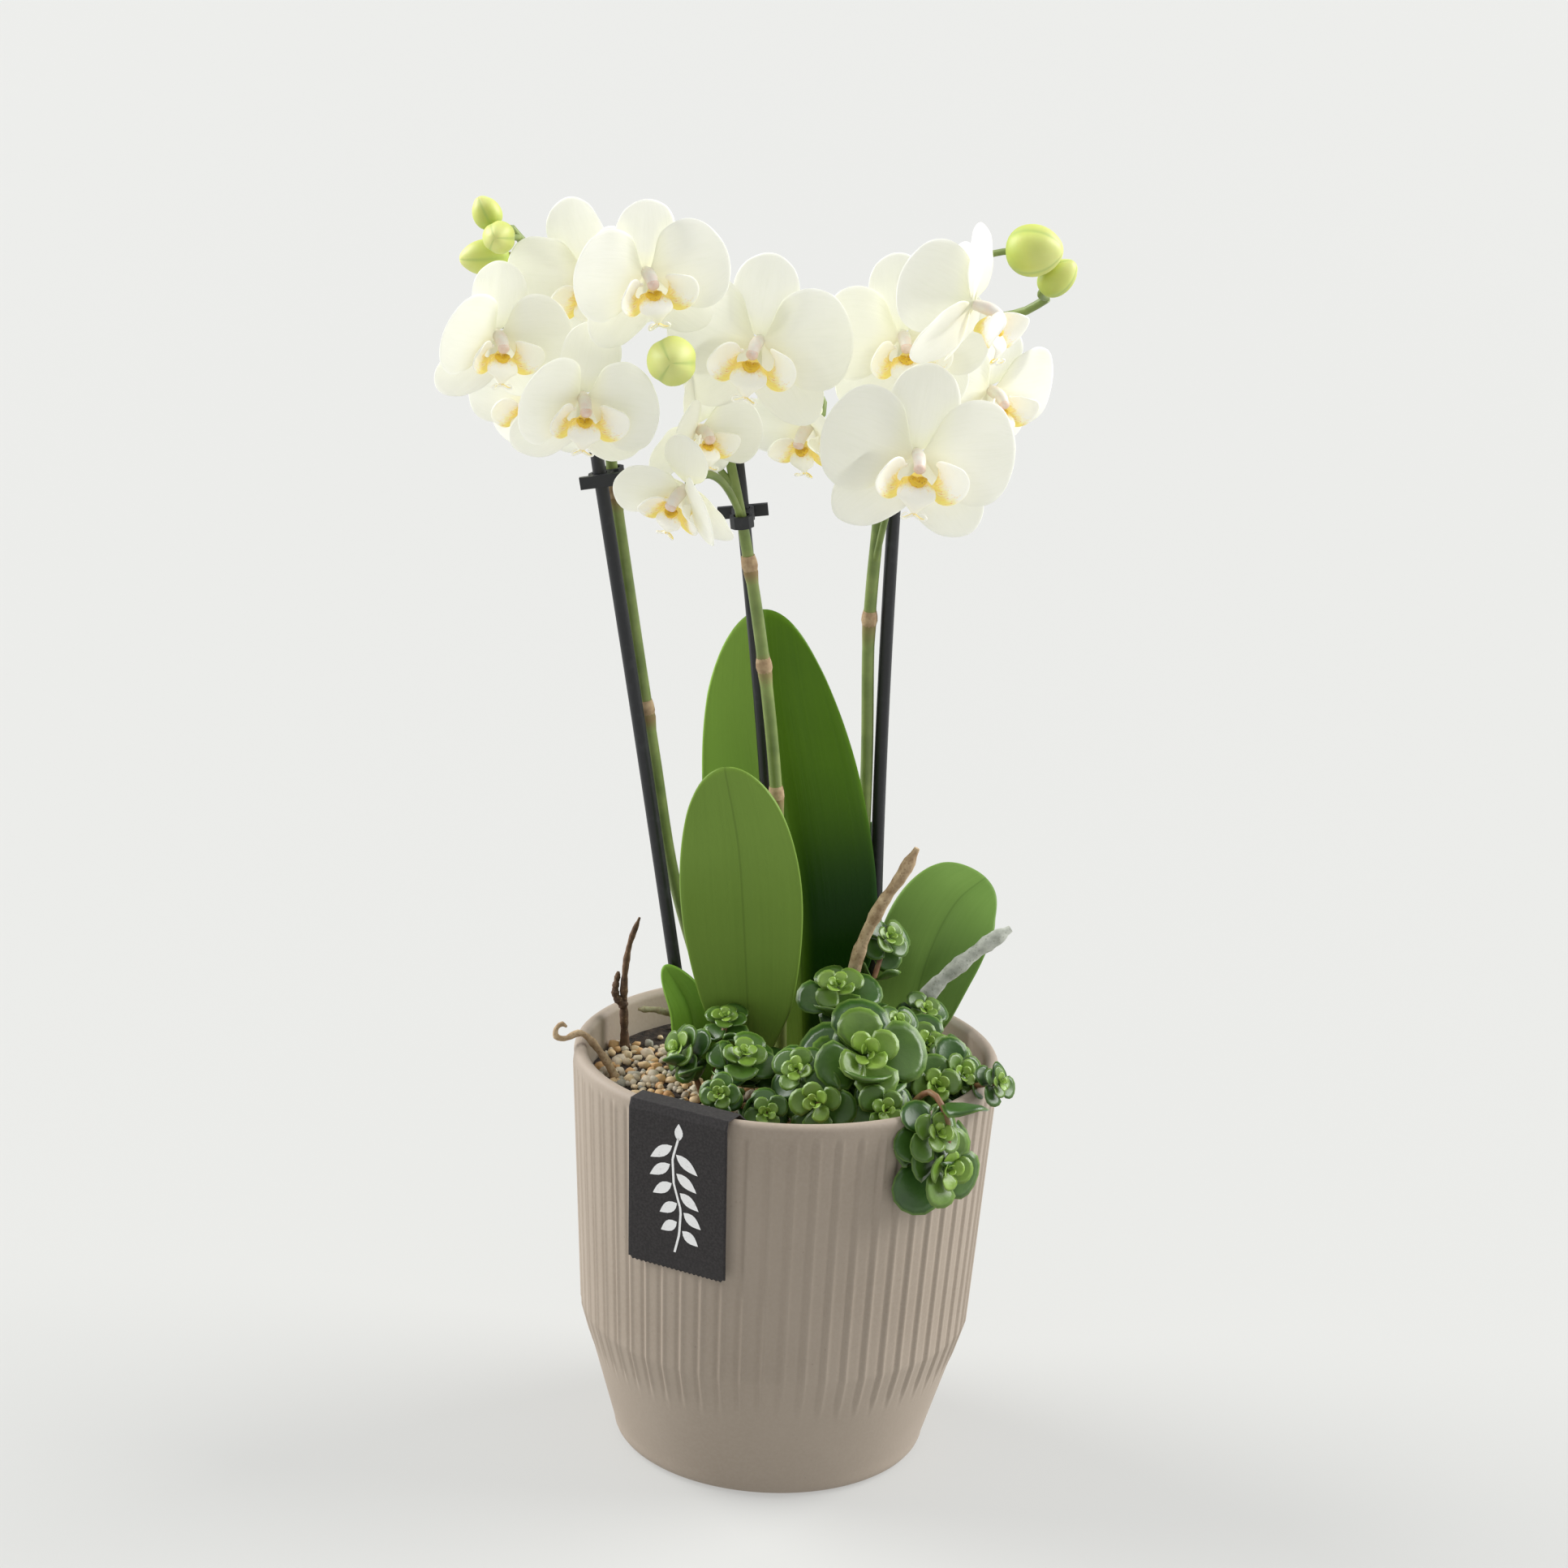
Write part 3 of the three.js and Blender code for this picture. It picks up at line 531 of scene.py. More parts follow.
# %% Ribs
def rib_relief(turn):
    """How far a rib stands out at a share of its width: a groove with a fine ridge beside it."""
    ridge = RIB_RIDGE * math.exp(-(((turn - 0.58) / 0.09) ** 2))
    return ridge - RIB_GROOVE * math.exp(-(((turn - 0.36) / 0.1) ** 2))


for vertex in pot.data.vertices:
    height, radius = vertex.co.z / MM, vertex.co.xy.length / MM
    if RIB_FOOT[0] < height < RIB_TOP[0] and radius > wall_radius(height) - 0.5:
        turn = (math.atan2(vertex.co.y, vertex.co.x) / math.tau * RIBS) % 1
        out = rib_relief(turn) * fade(height, *RIB_FOOT) * fade(height, *RIB_TOP)
        vertex.co.xy *= 1 + out / radius
tidy(pot, angle=60)
print("ribs:", RIBS)

# %% [markdown]
# The glaze is a matt taupe. Stoneware is never one even colour: it clouds a little, it has a grain as fine as
# sand, and a few pores make dark specks. A picture would have to be wrapped round the pot, with a seam, so
# noises of very different size give all three, from broad to fine.

# %% Pot finish
glaze = Finish("taupe_stoneware", Specular_IOR_Level=0.4)
spot = glaze.place()
cloud = glaze.noise(spot, 22, 4)
grain = glaze.noise(spot, 900, 2)
speck = glaze.cells(spot, 420).between(0.16, 0.1) * glaze.noise(spot, 60).between(0.52, 0.7)
tone = glaze.ramp(cloud, (0.3, (0.345, 0.283, 0.221)), (0.7, (0.39, 0.324, 0.258)))
tone = glaze.blend(grain.between(0.35, 0.7) * 0.25, tone, (0.43, 0.362, 0.298))
glaze.set("Base Color", glaze.blend(speck * 0.35, tone, (0.2, 0.16, 0.13)))
glaze.set("Roughness", 0.52 + grain * 0.2)
glaze.bump(grain + cloud * 0.8, 0.25, 0.15)
pot.data.materials.append(glaze.material)
keep(pot, "ribbed_pot", "glazed_pot", "pot")

# %% [markdown]
# Under the plants lies dark, damp potting mix. It could be strewn crumb by crumb, but little of it shows
# between pebbles and leaves, so the frame's own two discs stay as they are and get a crumbly finish with a deep
# bump.

# %% Potting mix
mix_finish = Finish("damp_mix", Roughness=0.95)
crumb = mix_finish.noise(mix_finish.place(), 380, 6, 0.65)
mix_finish.set("Base Color", mix_finish.ramp(crumb, (0.35, (0.008, 0.006, 0.005)), (0.7, (0.075, 0.05, 0.035))))
mix_finish.bump(crumb, 1.0, 1.6)
for node in ("potting_mix", "gravel"):
    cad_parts[node].data.materials.clear()
    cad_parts[node].data.materials.append(mix_finish.material)
print("finish:", mix_finish.material.name)

# %% [markdown]
# Over the mix lies a scatter of fine gravel. Particles could strew it, but they leave gaps and piles as they
# like. Here one pebble is shaped from a small sphere, and copied to places that keep a little apart, each copy
# with its own turn, flatness, size and tone. With so many copies a pebble has only a few dozen faces.

# %% Where the pebbles lie
PEBBLES = 1300
GRAVEL_EDGE = 58.5
PEBBLE_RADII = (1.1, 2.7)
APART = 0.62  # what neighbours keep, as a share of their two radii
BARE_SHARE = 0.97
TRIES, LOOK_BACK = PEBBLES * 30, 500
pick = random.Random(7)


def pebble_places():
    """Places on the gravel that don't crowd each other; the back left is nearly bare."""
    places = []
    for _ in range(TRIES):
        if len(places) == PEBBLES:
            break
        turn, reach = pick.uniform(0, math.tau), GRAVEL_EDGE * math.sqrt(pick.random())
        x, y, size = reach * math.cos(turn), reach * math.sin(turn), mix(*PEBBLE_RADII, pick.random() ** 1.6)
        bare = fade(y, 19, 28) * fade(x, 0, -20)
        if pick.random() < bare * BARE_SHARE:
            continue
        if all((x - a) ** 2 + (y - b) ** 2 > (APART * (size + c)) ** 2 for a, b, c in places[-LOOK_BACK:]):
            places.append((x, y, size))
    return places


places = pebble_places()
print("pebbles:", len(places))

# %% Pebbles
bpy.ops.object.select_all(action="DESELECT")
bpy.ops.mesh.primitive_uv_sphere_add(segments=8, ring_count=5, radius=1)
first = bpy.context.object
for vertex in first.data.vertices:
    x, y, z = vertex.co
    vertex.co *= 1 + 0.12 * math.sin(5 * x + 2) * math.cos(4 * y) + 0.06 * math.sin(7 * z)
tidy(first, angle=180)
first.data.attributes.new("tone", "FLOAT", "POINT")
pebbles = []
for x, y, size in places:
    stone = first.copy()
    stone.data = first.data.copy()
    turn = Euler([pick.uniform(0, math.tau) for _ in range(3)]).to_matrix().to_4x4()
    shape = Matrix.Diagonal((1, pick.uniform(0.7, 1), pick.uniform(0.55, 0.8), 1))
    flat = Matrix.Diagonal((1, 1, 0.8, 1))
    place = Matrix.Translation(planted((x, y, pick.uniform(-0.2, 1.0))))
    stone.data.transform(place @ flat @ turn @ shape @ Matrix.Scale(size * MM, 4))
    tone = pick.random()
    stone.data.attributes["tone"].data.foreach_set("value", [tone] * len(stone.data.vertices))
    bpy.context.collection.objects.link(stone)
    pebbles.append(stone)
bpy.data.objects.remove(first)
gravel = joined(pebbles)
print("gravel:", len(gravel.data.polygons), "faces")

# %% Gravel finish
stone_finish = Finish("river_gravel")
tone = stone_finish.attribute("tone")
spot = stone_finish.place()
fleck = stone_finish.noise(spot, 900, 4, 0.6)
stones = [
    (0.0, (0.52, 0.27, 0.10)), (0.2, (0.72, 0.47, 0.22)), (0.4, (0.80, 0.64, 0.40)), (0.55, (0.46, 0.40, 0.30)),
    (0.7, (0.84, 0.72, 0.52)), (0.85, (0.34, 0.34, 0.29)), (1.0, (0.72, 0.60, 0.44)),
]
colour = stone_finish.ramp(tone, *stones)
stone_finish.set("Base Color", stone_finish.blend(fleck.between(0.45, 0.75) * 0.3, colour, (0.3, 0.22, 0.13)))
stone_finish.set("Roughness", 0.55 + fleck * 0.3)
stone_finish.bump(fleck, 0.4, 0.3)
gravel.data.materials.append(stone_finish.material)
keep(gravel, "gravel_pebbles", "gravel")

# %% [markdown]
# The label is a strip of black card folded over the rim, its lower end cut with a fine toothed edge. A box
# could be bent over the rim, but its teeth would have to be cut afterwards. Instead it is one grid, whose rows
# follow the fold and whose lowest row is pulled into teeth, and a Solidify modifier gives it its thickness. The
# paper is matt black, with fine fibres and a little wear.

# %% Card
CARD_WIDTH, CARD_DROP, CARD_FLAP, CARD_THICKNESS = 33, 51, 13, 0.6
GAP = 0.3  # between card and pot
CARD_TURN = math.radians(-28)
TEETH, TOOTH = 22, 0.45
CORNER_RISE = 0.88
card_out = Vector((math.sin(CARD_TURN), -math.cos(CARD_TURN), 0))
card_right = Vector((math.cos(CARD_TURN), math.sin(CARD_TURN), 0))
rim = RIM_RADIUS / MM
rim_height = POT_HIGH.z / MM
inside = math.sqrt((rim - WALL) ** 2 - (CARD_WIDTH / 2) ** 2) - GAP - CARD_THICKNESS
off_wall = GAP + CARD_THICKNESS / 2
fold = [
    (wall_radius(rim_height - CARD_DROP) + off_wall, rim_height - CARD_DROP),
    (rim + off_wall, rim_height - WALL / 2),
    (rim + off_wall - 0.8, rim_height + off_wall),
    (inside + 0.5, rim_height + off_wall),
    (inside - CARD_FLAP, GRAVEL_TOP / MM + off_wall + 1),
]


def on_card(across, down, lift):
    """A place before the hanging face: across from its middle, down from the rim and off the card, in mm."""
    share = down / CARD_DROP
    reach = mix(fold[1][0], fold[0][0], share) + CARD_THICKNESS / 2 + lift
    return (card_right * across + card_out * reach) * MM + UP * mix(fold[1][1] + 2, fold[0][1], share) * MM


columns = TEETH * 2
bpy.ops.object.select_all(action="DESELECT")
bpy.ops.mesh.primitive_grid_add(x_subdivisions=columns, y_subdivisions=len(fold) + 3, size=2)
card = bpy.context.object
rows = sorted({round(v.co.y, 4) for v in card.data.vertices})
drop = [tuple(mix(a, b, share) for a, b in zip(fold[0], fold[1])) for share in (0, 0.0375, 0.25, 0.5, 0.75)]
path = drop + fold[1:]
for vertex in card.data.vertices:
    row = rows.index(round(vertex.co.y, 4))
    reach, height = path[min(row, len(path) - 1)]
    column = round((vertex.co.x + 1) / 2 * columns)
    across = vertex.co.x * CARD_WIDTH / 2
    if row == 0:
        height += TOOTH * (column % 2) + CORNER_RISE * fade(abs(vertex.co.x), 0.9, 1.0)
    vertex.co = (card_right * across + card_out * reach) * MM + UP * height * MM
apply(tidy(card, 20), "SOLIDIFY", thickness=CARD_THICKNESS * MM, offset=0)
apply(card, "BEVEL", width=0.12 * MM, segments=1, limit_method="ANGLE")
print("card:", len(card.data.polygons), "faces")

# %% Card finish
paper = Finish("black_card", Specular_IOR_Level=0.35)
spot = paper.place()
fibre = paper.noise(spot, 1400, 3)
worn = paper.noise(spot, 90, 3)
rubbed = fibre.between(0.3, 0.75) * 0.6 + worn * 0.2
paper.set("Base Color", paper.blend(rubbed, (0.018, 0.016, 0.016), (0.045, 0.04, 0.04)))
paper.set("Roughness", 0.62 + worn * 0.2)
paper.bump(fibre, 0.15, 0.1)
card.data.materials.append(paper.material)
print("finish:", paper.material.name)

# %% [markdown]
# The card is printed in white with a plain sprig of leaves. A finish could paint the print, but the formulas
# for leaves would be hard to read, so it is cut out as thin flat shapes a hair above the card.

# %% How the sprig is drawn
INK_LIFT = 0.12
INK_WIDTH = 0.75
LEAF_ROWS = (12, 18, 24, 30, 36)
LEAF_SPREAD = 125
sprig_line = [(0.5, 8), (-1.5, 15), (-1, 23), (1.5, 31), (1, 39), (-0.5, 45)]


def ink(points):
    """A flat printed shape with these corners, on the card."""
    bpy.ops.object.select_all(action="DESELECT")
    bpy.ops.mesh.primitive_circle_add(vertices=len(points), radius=1, fill_type="NGON")
    made = bpy.context.object
    for vertex, point in zip(made.data.vertices, points):
        vertex.co = on_card(*point, INK_LIFT)
    return made


def ink_leaf(base, turn, length, width):
    """A pointed leaf from its base, turned from straight down the card."""
    row = [(k / 6, math.sin(math.pi * (k / 6) ** 0.85)) for k in range(7)]
    outline = row + [(share, -wide) for share, wide in row[5:0:-1]]
    along = (math.sin(turn), math.cos(turn))
    side = (along[1], -along[0])
    return [
        tuple(b + a * share * length + s * wide * width / 2 for b, a, s in zip(base, along, side))
        for share, wide in outline
    ]


def line_at(down):
    """How far across the sprig's stalk is at a height."""
    for (a, top), (b, low) in zip(sprig_line, sprig_line[1:]):
        if down <= low:
            return mix(a, b, (down - top) / (low - top))
    return sprig_line[-1][0]


print("the stalk is drawn from", sprig_line[0][1], "to", sprig_line[-1][1], "mm down")

# %% The sprig's strokes
stem_rows = [8 + 1.85 * k for k in range(21)]
halves = [(line_at(down), down) for down in stem_rows]
strokes = []
for (a, top), (b, low) in zip(halves, halves[1:]):
    w = INK_WIDTH / 2
    strokes.append(ink([(a - w, top), (a + w, top), (b + w, low), (b - w, low)]))
for k, down in enumerate(LEAF_ROWS):
    for hand in (-1, 1):
        reach = down + 2.5 * (hand > 0)
        base = (line_at(reach) + hand, reach - 1)
        strokes.append(ink(ink_leaf(base, math.radians(180 - hand * LEAF_SPREAD), 9 - 0.6 * k, 3.4)))
strokes.append(ink(ink_leaf((line_at(8), 9), math.pi, 5.5, 2.8)))
sprig = joined(strokes)
print("sprig:", len(strokes), "strokes")

# %% White ink
white_ink = Finish("white_ink", Roughness=0.55)
wear = white_ink.noise(white_ink.place(), 1600, 3)
worn_ink = white_ink.blend(wear.between(0.55, 0.8) * 0.5, (0.85, 0.85, 0.84), (0.5, 0.49, 0.48))
white_ink.set("Base Color", worn_ink)
sprig.data.materials.clear()
sprig.data.materials.append(white_ink.material)
only(sprig)
bpy.ops.object.mode_set(mode="EDIT")
bpy.ops.mesh.select_all(action="SELECT")
bpy.ops.mesh.normals_make_consistent(inside=False)
bpy.ops.object.mode_set(mode="OBJECT")
if sum(face.normal.dot(card_out) for face in sprig.data.polygons) < 0:
    sprig.data.flip_normals()
keep(joined([card, sprig]), "folded_card", "card", "label_card")

# %% [markdown]
# Each flower spike is a green stem tied to a thin black stake, and it bears flowers and buds on thin stalks,
# its pedicels. Each could be placed as it is made, but a stem is drawn with its pedicels, and they go to the
# flowers, so all are laid out first, in mm from the pot's axis and the gravel's top.

# %% Where the spikes stand
SPIKES = {
    "left": {
        "stem": [
            (-18.4, 15, 2), (-26.2, 13, 25.4), (-37, 9, 61.7), (-44.3, 6, 100.7), (-52.5, 3, 146.2),
            (-58.8, 2, 182.8), (-62.5, 4, 206.3), (-68, 11, 226), (-76, 15, 239), (-84, 13, 247),
            (-91.5, 8, 256),
        ],
        "joints": (113, 179, 248),
        "stake": [(-29.8, 8, 2), (-49.3, 0, 114), (-64.8, -3.5, 197.9)],
    },
    "middle": {
        "stem": [
            (-1.5, 8, 2), (-3.5, 9, 40), (-6.4, 9, 83.9), (-11.3, 7, 122.4), (-17.7, 4, 158.8),
            (-24.2, 2, 188.1), (-28.5, 4, 203.2), (-35.2, 4, 216), (-40.7, -4, 221.3),
        ],
        "joints": (87, 129, 159),
        "stake": [(-3.3, 15, 2), (-9.8, 16.5, 86.2), (-18.9, 11, 160.9), (-23.4, 8.4, 193)],
    },
    "right": {
        "stem": [
            (21.5, 36, 2), (20.4, 31, 92.7), (18.6, 26, 138.8), (19.3, 21, 167), (20.6, 14, 194.1),
            (24.2, 10, 214.3), (32.2, 8, 229.4), (46, 8, 235.8), (57.8, 4, 239.8), (63.8, -1, 244.6),
        ],
        "joints": (139,),
        "stake": [(27.2, 38, 2), (24.9, 33, 79.3), (24.1, 27.5, 138.5), (24.1, 21, 193.1)],
    },
}
print("spikes:", ", ".join(SPIKES))

# %% [markdown]
# A flower's angles are in degrees: yaw turns it to the right, nod down, roll round. Its petals cup forwards and
# its sepals sweep forwards, the upper one by its hood as well. Size is a share of the full span, and "from" is
# where its pedicel leaves the spike, as a share of the spike's length. "via" leads a pedicel round a neighbour.
# A bud has a length and a width in mm instead, and the way in which its tip points.

# %% Where the flowers face and the buds point
FLOWERS = {
    "left": [
        {"at": (-92.5, -18, 229), "cup": 30, "yaw": 20, "nod": 12, "roll": 2, "size": 0.87, "from": 0.84},
        {"at": (-67, -6, 246.5), "cup": 14, "yaw": -12, "nod": 24, "roll": -12, "size": 0.93, "from": 0.78},
        {
            "at": (-50, -35, 251), "cup": 20, "hood": 12, "yaw": 16, "nod": 8, "roll": -9, "size": 0.92,
            "from": 0.8,
        },
        {"at": (-67, -28, 214), "cup": 34, "yaw": 12, "nod": 12, "roll": 4, "size": 0.93, "from": 0.72},
        {"at": (-84, 22, 205), "cup": 20, "yaw": -24, "nod": 10, "roll": 0, "size": 0.8, "from": 0.62},
    ],
    "middle": [
        {"at": (-18, -20, 231), "cup": -2, "yaw": -10, "nod": 8, "roll": 6, "size": 1.04, "from": 0.9},
        {"at": (-35, -10, 203.5), "cup": 35, "yaw": 36, "nod": 10, "roll": 0, "size": 0.7, "from": 0.8},
        {"at": (-37, -26, 189), "cup": 34, "yaw": -35, "nod": 30, "roll": 20, "size": 0.78, "from": 0.76},
        {
            "at": (-2, 8, 203), "cup": 24, "yaw": -35, "nod": 35, "roll": 0, "size": 0.82,
            "from": 0.88, "via": (-14, 20, 223),
        },
    ],
    "right": [
        {"at": (28, -37, 204), "cup": -2, "yaw": 4, "nod": 6, "roll": 5, "size": 1.08, "from": 0.58},
        {"at": (23, -4, 232), "cup": 8, "yaw": 6, "nod": 6, "roll": -6, "size": 0.98, "from": 0.68},
        {
            "at": (42, -33, 246), "cup": -54, "sweep": -14, "yaw": 62, "nod": 14, "roll": 8, "size": 0.93,
            "from": 0.8, "via": (42, -3, 257),
        },
        {"at": (50, 18, 214), "cup": 4, "yaw": 34, "nod": 14, "roll": 0, "size": 0.85, "from": 0.74},
    ],
}
BUDS = {
    "left": [
        {"at": (-97.5, -4, 261.5), "points": (-0.5, 0, 0.9), "length": 9.5, "width": 8.5, "from": 1},
        {"at": (-93, -14, 256), "points": (-0.1, -1, 0.1), "length": 11, "width": 9.4, "from": 0.985},
        {"at": (-98, -1, 248.5), "points": (-1, -0.2, -0.1), "length": 14, "width": 10.5, "from": 0.93},
    ],
    "middle": [{"at": (-41.5, -46, 228.5), "points": (0, -1, 0.1), "length": 16, "width": 14, "from": 1}],
    "right": [
        {"at": (58.5, -12, 259.5), "points": (0.9, -0.3, 0.1), "length": 16, "width": 15, "from": 0.86},
        {"at": (66, -7, 251.5), "points": (0.7, -0.1, 0.7), "length": 12.5, "width": 9.5, "from": 1},
    ],
}
print("flowers:", sum(map(len, FLOWERS.values())), "and buds:", sum(map(len, BUDS.values())))

# %% Which way a flower faces, and its pedicel
PEDICEL_BEND, PEDICEL_ARCH = 6, 0.45


def facing(flower):
    """The turn of a flower that faced -Y: yaw, then nod, then roll."""
    yaw, nod, roll = [math.radians(flower[way]) for way in ("yaw", "nod", "roll")]
    return Matrix.Rotation(yaw, 3, "Z") @ Matrix.Rotation(nod, 3, "X") @ Matrix.Rotation(roll, 3, "Y")


def pedicel(stem, start_at, end, behind, via=None):
    """The line of a stalk from the spike to the back of a flower or bud."""
    start = stem.at(start_at)
    if via:
        return Spine([start, planted(via), end + behind * (PEDICEL_BEND * MM), end])
    bend = end + behind * ((end - start).length * PEDICEL_ARCH)
    share = [k / 8 for k in range(9)]
    return Spine([start.lerp(bend, t).lerp(bend.lerp(end, t), t) for t in share], parts=2)


print("first flower faces", [round(part, 2) for part in facing(FLOWERS["left"][0]) @ Vector((0, -1, 0))])

# %% [markdown]
# A spike's skin is a streaky green that goes brown and rough at each joint. Where a joint is could be found
# again from the height alone, but the mesh can simply hold it, as a number for each point. The scales at the
# joints are dry and papery, and stakes and clips are black plastic with a faint scuffing.

# %% Stem, scale and stake finishes
green = Finish("stem_green", Specular_IOR_Level=0.5)
spot = green.place()
streak = green.noise(spot, 120, 4)
joint = green.attribute("joint")
flecks = green.cells(spot, 700).between(0.25, 0.12) * green.noise(spot, 150).between(0.5, 0.65)
fresh = green.ramp(streak, (0.3, (0.14, 0.20, 0.045)), (0.7, (0.25, 0.32, 0.09)))
brown = green.blend(streak, (0.20, 0.105, 0.04), (0.34, 0.21, 0.10))
green.set("Base Color", green.blend(joint * 0.85 + flecks * 0.3, fresh, brown))
green.set("Roughness", 0.38 + streak * 0.2 + joint * 0.2)
green.bump(streak, 0.3, 0.3)

scale_finish = Finish("dry_scale", Roughness=0.8)
fibre = scale_finish.noise(scale_finish.place(), 500, 4)
scale_finish.set("Base Color", scale_finish.ramp(fibre, (0.3, (0.30, 0.19, 0.10)), (0.7, (0.52, 0.38, 0.22))))
scale_finish.bump(fibre, 0.5, 0.3)

plastic = Finish("black_plastic", Specular_IOR_Level=0.5)
scuff = plastic.noise(plastic.place(), 300, 4)
scuffed = plastic.blend(scuff.between(0.5, 0.8) * 0.5, (0.010, 0.011, 0.013), (0.035, 0.036, 0.04))
plastic.set("Base Color", scuffed)
plastic.set("Roughness", 0.34 + scuff * 0.22)
plastic.bump(scuff, 0.12, 0.15)
print("finishes:", green.material.name, scale_finish.material.name, plastic.material.name)

# %% [markdown]
# Stem, pedicels and stake are all rods along a line. A plain rod looks like wire. What makes the stem live is
# that it tapers upwards, swells at its joints and wears a scale there. The small butterfly clips keep the
# frame's own shape.

# %% Joints and scales
STEM_RADIUS, STEM_STEPS = 1.75, 64
JOINT_SWELL = 0.48
SCALE_REACH = 1.6
SCALE_STANDS_OFF = (0.35, 0.75, 0.65, 0.3)


def mark_joints(stem, heights):
    """Writes how near each vertex is to a joint, for the finish."""
    values = []
    for vertex in stem.data.vertices:
        rise = (vertex.co.z - GRAVEL_TOP) / MM
        values.append(max([fade(abs(rise - height), 4.5, 0.5) for height in heights] + [0]))
    stem.data.attributes.new("joint", "FLOAT", "POINT").data.foreach_set("value", values)


def papery_scale(line, height):
    """A scale wrapped round a joint, open at its upper end and pointed on one side."""
    share = line.at_height(GRAVEL_TOP + height * MM)
    step = SCALE_REACH * MM / line.lengths[-1]
    reach = [line.at(share + step * k) for k in range(-1, 3)]
    made = rod("scale", reach, [STEM_RADIUS + off for off in SCALE_STANDS_OFF], 12)
    made.data.materials.append(scale_finish.material)
    return made


def stem_radius(share, place, joints):
    """The stem's radius in mm: it tapers over its upper half and swells at each joint."""
    rise = (place.z - GRAVEL_TOP) / MM
    swell = max(fade(abs(rise - height), 4, 0) for height in joints)
    return STEM_RADIUS * mix(1.08, 0.72, fade(share, 0.55, 1)) + JOINT_SWELL * swell


print("a stem is", round(stem_radius(0, planted((0, 0, 2)), (113,)), 2), "mm in radius at its foot")

# %% Stems, pedicels and scales
FOOT_DEPTH = 6
FLOWER_STALK, BUD_STALK = (1.0, 1.3), 0.99
STALK_STEPS = 16
HUB_RADIUS, HUB_DEPTH = 2.6, 0.6
BUD_HOLD = 0.42
HIGHEST_SCALE = 200

for name, spike in SPIKES.items():
    line = Spine([planted(point) for point in spike["stem"]])
    points = line.places(STEM_STEPS)
    radii = [stem_radius(k / STEM_STEPS, point, spike["joints"]) for k, point in enumerate(points)]
    parts = [rod("stem", [planted((*spike["stem"][0][:2], -FOOT_DEPTH)), *points], [radii[0], *radii], 14)]
    for flower in FLOWERS[name]:
        behind = facing(flower) @ Vector((0, 1, 0))
        end = planted(flower["at"]) + behind * (HUB_RADIUS * HUB_DEPTH * MM)
        stalk = pedicel(line, flower["from"], end, behind, flower.get("via"))
        parts.append(rod("pedicel", stalk.places(STALK_STEPS), dwindled(*FLOWER_STALK, STALK_STEPS), 10))
    for bud in BUDS[name]:
        behind = -Vector(bud["points"]).normalized()
        end = planted(bud["at"]) + behind * (bud["length"] * BUD_HOLD * MM)
        stalk = pedicel(line, bud["from"], end, behind)
        parts.append(rod("pedicel", stalk.places(STALK_STEPS), BUD_STALK, 10))
    stem = joined(parts)
    mark_joints(stem, spike["joints"])
    stem.data.materials.append(green.material)
    scales = [tidy(papery_scale(line, height)) for height in spike["joints"] if height < HIGHEST_SCALE]
    keep(joined([tidy(stem), *scales]), f"spike_{name}", "flower_stem", f"flower_stem_{name}")

# %% Stakes and clips
STAKE_RADIUS, STAKE_STEPS = 2, 20
STAKE_END = 0.7
END_SHARES = (0.92, 0.5)

for name, spike in SPIKES.items():
    track = Spine([planted(point) for point in spike["stake"]])
    points = [planted((*spike["stake"][0][:2], -FOOT_DEPTH)), *track.places(STAKE_STEPS)]
    points.append(points[-1] + track.heading(1) * (STAKE_END * MM))
    shares = [1] * (len(points) - 2) + list(END_SHARES)
    stake = tidy(rod("stake", points, [STAKE_RADIUS * share for share in shares], 18))
    stake.data.materials.append(plastic.material)
    keep(stake, f"support_stake_{name}", "stake_plastic", f"stake_{name}")

    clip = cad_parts[f"clip_{name}"]
    clip.data.materials.clear()
    clip.data.materials.append(plastic.material)

# %% [markdown]
# Petals are so thin that light goes through them: that is why they look creamy and bright even where no lamp
# reaches. A translucent shader could be mixed in, but then half of the look would hang on a second shader. Here
# the one Principled shader does it all, with subsurface scattering and a very faint painted glow, an emission
# that stands for the light let through. Fine veins run along each petal by its own map, and the throat is
# tinged with yellow. The lip goes from cream to yellow at its root, with faint red marks.

# %% Petal and lip finishes
# Painted glow: petals and lip give off a little light of their own, though neither is a lamp.
PETAL_PAINTED_GLOW, LIP_PAINTED_GLOW = 0.1, 0.12
petal = Finish("petal_white", Specular_IOR_Level=0.3, Subsurface_Weight=0.45, Subsurface_Scale=0.004)
petal.shader.inputs["Subsurface Radius"].default_value = (1, 1, 0.85)
# A faint creamy painted glow on the petals.
petal.shader.inputs["Emission Color"].default_value = (1, 1, 0.86, 1)
petal.shader.inputs["Emission Strength"].default_value = PETAL_PAINTED_GLOW
u, v = petal.parts(petal.along())
veins = petal.noise(petal.vector(u * 26, v * 2.2), 1.0, 3, 0.6)
cloud = petal.noise(petal.place(), 60, 3)
white = petal.blend(cloud, (0.80, 0.80, 0.665), (0.84, 0.835, 0.73))
white = petal.blend(veins.between(0.45, 0.75) * 0.25, white, (0.74, 0.75, 0.60))
throat = v.between(0.3, 0.0)
petal.set("Base Color", petal.blend(throat * 0.5, white, (0.88, 0.88, 0.52)))
petal.set("Roughness", 0.44 + veins * 0.14)
petal.bump(veins, 0.35, 0.25)

